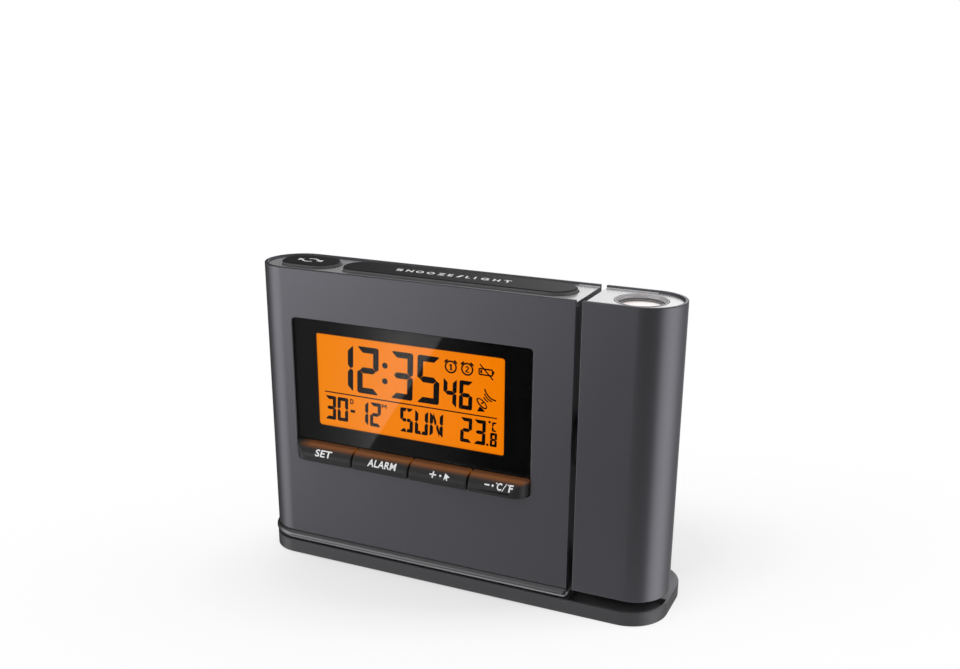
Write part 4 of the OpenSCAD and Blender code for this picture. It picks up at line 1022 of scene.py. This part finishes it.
topKeys = {
    "sunk": 0.001,  # into the key's top
    "tall": 2.95,
    "middle": -4.9,
    "lean": -0.22,
    "bold": 0.024,
    "slashBold": 0.004,
    # each letter's middle and width
    "letters": (("S", -22.68, 2.9), ("N", -18.9, 3.2), ("O", -15.2, 2.9), ("O", -11.2, 2.9),
                ("Z", -7.2, 3.0), ("E", -4.0, 2.3), ("/", -0.6, 1.6), ("L", 2.4, 2.3), ("I", 4.9, 1.15),
                ("G", 8.5, 3.1), ("H", 12.45, 2.9), ("T", 16.0, 2.8)),
    # one of two arrows that turn round each other
    "arrows": (-57.65, -4.85),
    "sweep": [(1.5, -1.65), (0.5, -2.15), (-0.7, -2.2), (-1.6, -1.8), (-2.4, -1.15), (-3.3, -0.3)],
    "sweepWidth": 0.62,
    "head": [(-4.9, 1.0), (-4.3, -1.5), (-2.4, 0.4)],
}


def printOnTop(name, key, mesh):
    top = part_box(key)[1].z / mm - topKeys["sunk"]
    for v in mesh.vertices:
        v.co = Vector((v.co.x, v.co.y, top + v.co.z)) * mm
    mount(finishMesh(name, mesh, finishOf["whitePrint"]), key)


def topWords():
    tall = topKeys["tall"]
    signs = []
    for sign, at, width in topKeys["letters"]:
        bold = topKeys["slashBold" if sign == "/" else "bold"]
        letter = letters(sign, width, tall, topKeys["lean"], bold)
        signs.append(moved(letter, at - width / 2, topKeys["middle"] - tall / 2))
    printOnTop("snoozeWord", "snooze_key", merged(signs))
    arrows = [placed(outline, *topKeys["arrows"], turn) for turn in (1, -1)
              for outline in (ribbon(topKeys["sweep"], topKeys["sweepWidth"]), topKeys["head"])]
    printOnTop("flipArrows", "flip_key", thinSolids(arrows, printThick, 0, flat))


frontWords()
topWords()
print("words printed")


studio = {
    "floorSize": 8.0,  # metres
    "floorColour": (0.9, 0.9, 0.9),
    # painted shade on the floor, over the real shadow of its matt part, longer from front left to back right:
    # the share of plain white by distance, m
    "shadeTurn": 35,
    "shadeStretch": (2.2, 1.0, 1.0),
    "shadeCentre": (0.01, 0.012, 0),
    "floorGlow": [(0.0, 0.5), (0.034, 0.56), (0.041, 0.68), (0.045, 0.73), (0.056, 0.87), (0.062, 0.9),
                  (0.085, 0.96), (0.12, 1.0), (0.2, 1.0)],
    "ambient": 0.62,
    # azimuth in degrees from the clock's front towards its right, and how bright the studio is there
    "bright": [(-180, 0.5), (-168, 1.3), (-161, 0.9), (-153, 0.2), (-145, 0.04), (-120, 0.03), (-100, 0.05),
               (-86, 0.2), (-76, 0.7), (-55, 1.1), (-30, 1.1), (50, 0.8), (68, 0.8), (90, 1.2), (110, 1.05),
               (128, 0.5), (150, 0.22), (160, 0.22), (180, 0.5)],
    # a flag in front, with what shows of the soft box at its left and through it
    "flag": [(-180, 0.0), (-80, 0.0), (-70, 1.0), (54, 1.0), (66, 0.0), (180, 0.0)],
    "flagLow": [(-0.75, 0.0), (-0.6, 1.0)],
    "dim": [(-60, 0.17), (-27.3, 0.17), (-23.8, 0.03), (0, 0.03)],
    "edge": (0.8129, -0.2352, -0.5329),  # normal of the plane of the flag's sharp edge
    "left": [(-0.25, 1.05), (-0.14, 1.05), (-0.122, 0.0), (0.05, 0.0)],
    "mask": [(-0.05, 1.0), (-0.001, 1.0), (0.001, 0.0), (0.05, 0.0)],
    "veilEdge": (0.8687, -0.4671, -0.1646),
    "veil": [(-0.03, 0.0), (-0.018, 0.07), (-0.009, 0.15), (0.0, 0.23), (0.01, 0.36), (0.018, 0.53),
             (0.028, 0.8), (0.045, 0.95), (0.08, 0.75), (0.1, 0.75)],
    # by height: towards the floor at the left, above the horizon behind and in front
    "west": [(-180, 0.0), (-110, 0.0), (-90, 1.0), (0, 1.0), (20, 0.0), (180, 0.0)],
    "low": [(-1.0, 1.0), (-0.75, 1.0), (-0.6, 0.5), (-0.47, 0.5), (-0.24, 1.0), (1.0, 1.0)],
    "front": [(-180, 0.0), (-130, 0.0), (-112, 1.0), (112, 1.0), (130, 0.0), (180, 0.0)],
    "highFront": [(-1.0, 1.0), (0.02, 1.0), (0.17, 0.15), (0.85, 0.15), (1.0, 0.3)],
    "highBack": [(-1.0, 1.0), (0.36, 1.0), (0.5, 0.15), (0.85, 0.15), (1.0, 0.3)],
    "lampAim": (0, 0, 0.05),
    "lamps": {
        # azimuth and elevation in degrees, distance and size in metres, brightness
        "leftLamp": (-48, 38, 1.3, 0.9, 1.5),
        "rightLamp": (120, 36, 1.3, 0.8, 1.4),
        "topLamp": (10, 78, 1.5, 1.1, 0.8),
    },
}


def anyRay(tree, *kinds):
    # 1 where the ray is one of the kinds
    rays = tree.nodes.new("ShaderNodeLightPath")
    total = (rays, kinds[0])
    for kind in kinds[1:]:
        total = combine(tree, "MAXIMUM", total, (rays, kind))
    return total


def makeFloor():
    half = studio["floorSize"] / 2
    mesh = bpy.data.meshes.new("floor")
    square = [(-half, -half, 0), (half, -half, 0), (half, half, 0), (-half, half, 0)]
    mesh.from_pydata(square, [], [(0, 1, 2, 3)])
    floor = newObject("floor", mesh)
    paint, tree, blend = newMaterial("paleFloor", "ShaderNodeMixShader")
    matt = newNode(tree, "ShaderNodeBsdfDiffuse", {"Color": (*studio["floorColour"], 1)})
    plain = newNode(tree, "ShaderNodeEmission", {"Color": (1, 1, 1, 1)})
    place = objectPlace(tree, studio["shadeStretch"])
    place.vector_type = "TEXTURE"
    fill(place, {"Location": studio["shadeCentre"], "Rotation": (0, 0, math.radians(studio["shadeTurn"]))})
    away = join(tree, place, "Vector", newNode(tree, "ShaderNodeVectorMath", operation="LENGTH"), 0)
    glow = levels(tree, away, "Value", studio["floorGlow"])
    seen = anyRay(tree, "Is Camera Ray", "Is Glossy Ray", "Is Transmission Ray")
    feed(tree, times(tree, seen, times(tree, glow, 2.0)), blend.inputs[0])
    join(tree, matt, 0, blend, 1)
    join(tree, plain, 0, blend, 2)
    mesh.materials.append(paint)
    floor.visible_glossy = False
    floor.visible_transmission = False


def makeWorld():
    # white to the camera, soft boxes and dark flags to gloss and glass, even light to everything else
    world = bpy.data.worlds.new("studio")
    bpy.context.scene.world = world
    world.use_nodes = True
    tree = world.node_tree
    tree.nodes.clear()
    output = tree.nodes.new("ShaderNodeOutputWorld")
    place = tree.nodes.new("ShaderNodeTexCoord")
    axes = axesOf(tree, place, "Generated")
    angle = combine(tree, "ARCTAN2", (axes, "X"), times(tree, (axes, "Y"), -1.0))
    azimuth = times(tree, angle, 180 / math.pi)

    def past(plane):
        side = newNode(tree, "ShaderNodeVectorMath", {1: studio[plane]}, operation="DOT_PRODUCT")
        return join(tree, place, "Generated", side, 0), "Value"

    def level(source, key):
        return times(tree, levels(tree, *source, studio[key]), 2.0)

    def between(share, start, end):
        # start where the share is 0, end where it is 1
        change = combine(tree, "SUBTRACT", end, start)
        return combine(tree, "MULTIPLY_ADD", share, change, start)

    up, edge = (axes, "Z"), past("edge")
    flag = times(tree, level(azimuth, "flag"), level(up, "flagLow"))
    boxLight = between(flag, level(azimuth, "bright"), level(edge, "left"))
    boxLight = times(tree, boxLight, between(level(azimuth, "west"), 1.0, level(up, "low")))
    veil = times(tree, level(past("veilEdge"), "veil"), level(edge, "mask"))
    behind = times(tree, flag, combine(tree, "ADD", level(azimuth, "dim"), veil))
    high = between(level(azimuth, "front"), level(up, "highBack"), level(up, "highFront"))
    mirror = times(tree, combine(tree, "ADD", boxLight, behind), high)
    boxes, even, white = (
        newNode(tree, "ShaderNodeBackground", {"Color": (1, 1, 1, 1), "Strength": strength})
        for strength in (1.0, studio["ambient"], 1.0))
    feed(tree, mirror, boxes.inputs["Color"])
    last = even
    for shown, kinds in ((boxes, ("Is Glossy Ray", "Is Transmission Ray")), (white, ("Is Camera Ray",))):
        mixed = tree.nodes.new("ShaderNodeMixShader")
        feed(tree, anyRay(tree, *kinds), mixed.inputs[0])
        join(tree, last, 0, mixed, 1)
        join(tree, shown, 0, mixed, 2)
        last = mixed
    join(tree, last, 0, output, 0)


def makeLamp(name, azimuth, elevation, distance, size, brightness):
    data = bpy.data.lights.new(name, "AREA")
    data.shape = "SQUARE"
    data.size = size
    data.energy = brightness * math.pi * size * size
    lamp = newObject(name, data)
    a, e = math.radians(azimuth), math.radians(elevation)
    away = Vector((math.sin(a) * math.cos(e), -math.cos(a) * math.cos(e), math.sin(e)))
    lamp.location = away * distance + Vector(studio["lampAim"])
    lamp.rotation_euler = away.to_track_quat("Z", "Y").to_euler()
    lamp.visible_glossy = False
    lamp.visible_transmission = False


makeFloor()
makeWorld()
for name, spec in studio["lamps"].items():
    makeLamp(name, *spec)
print("studio made")


def corners(box):
    return [list(box[0]), list(box[1])]
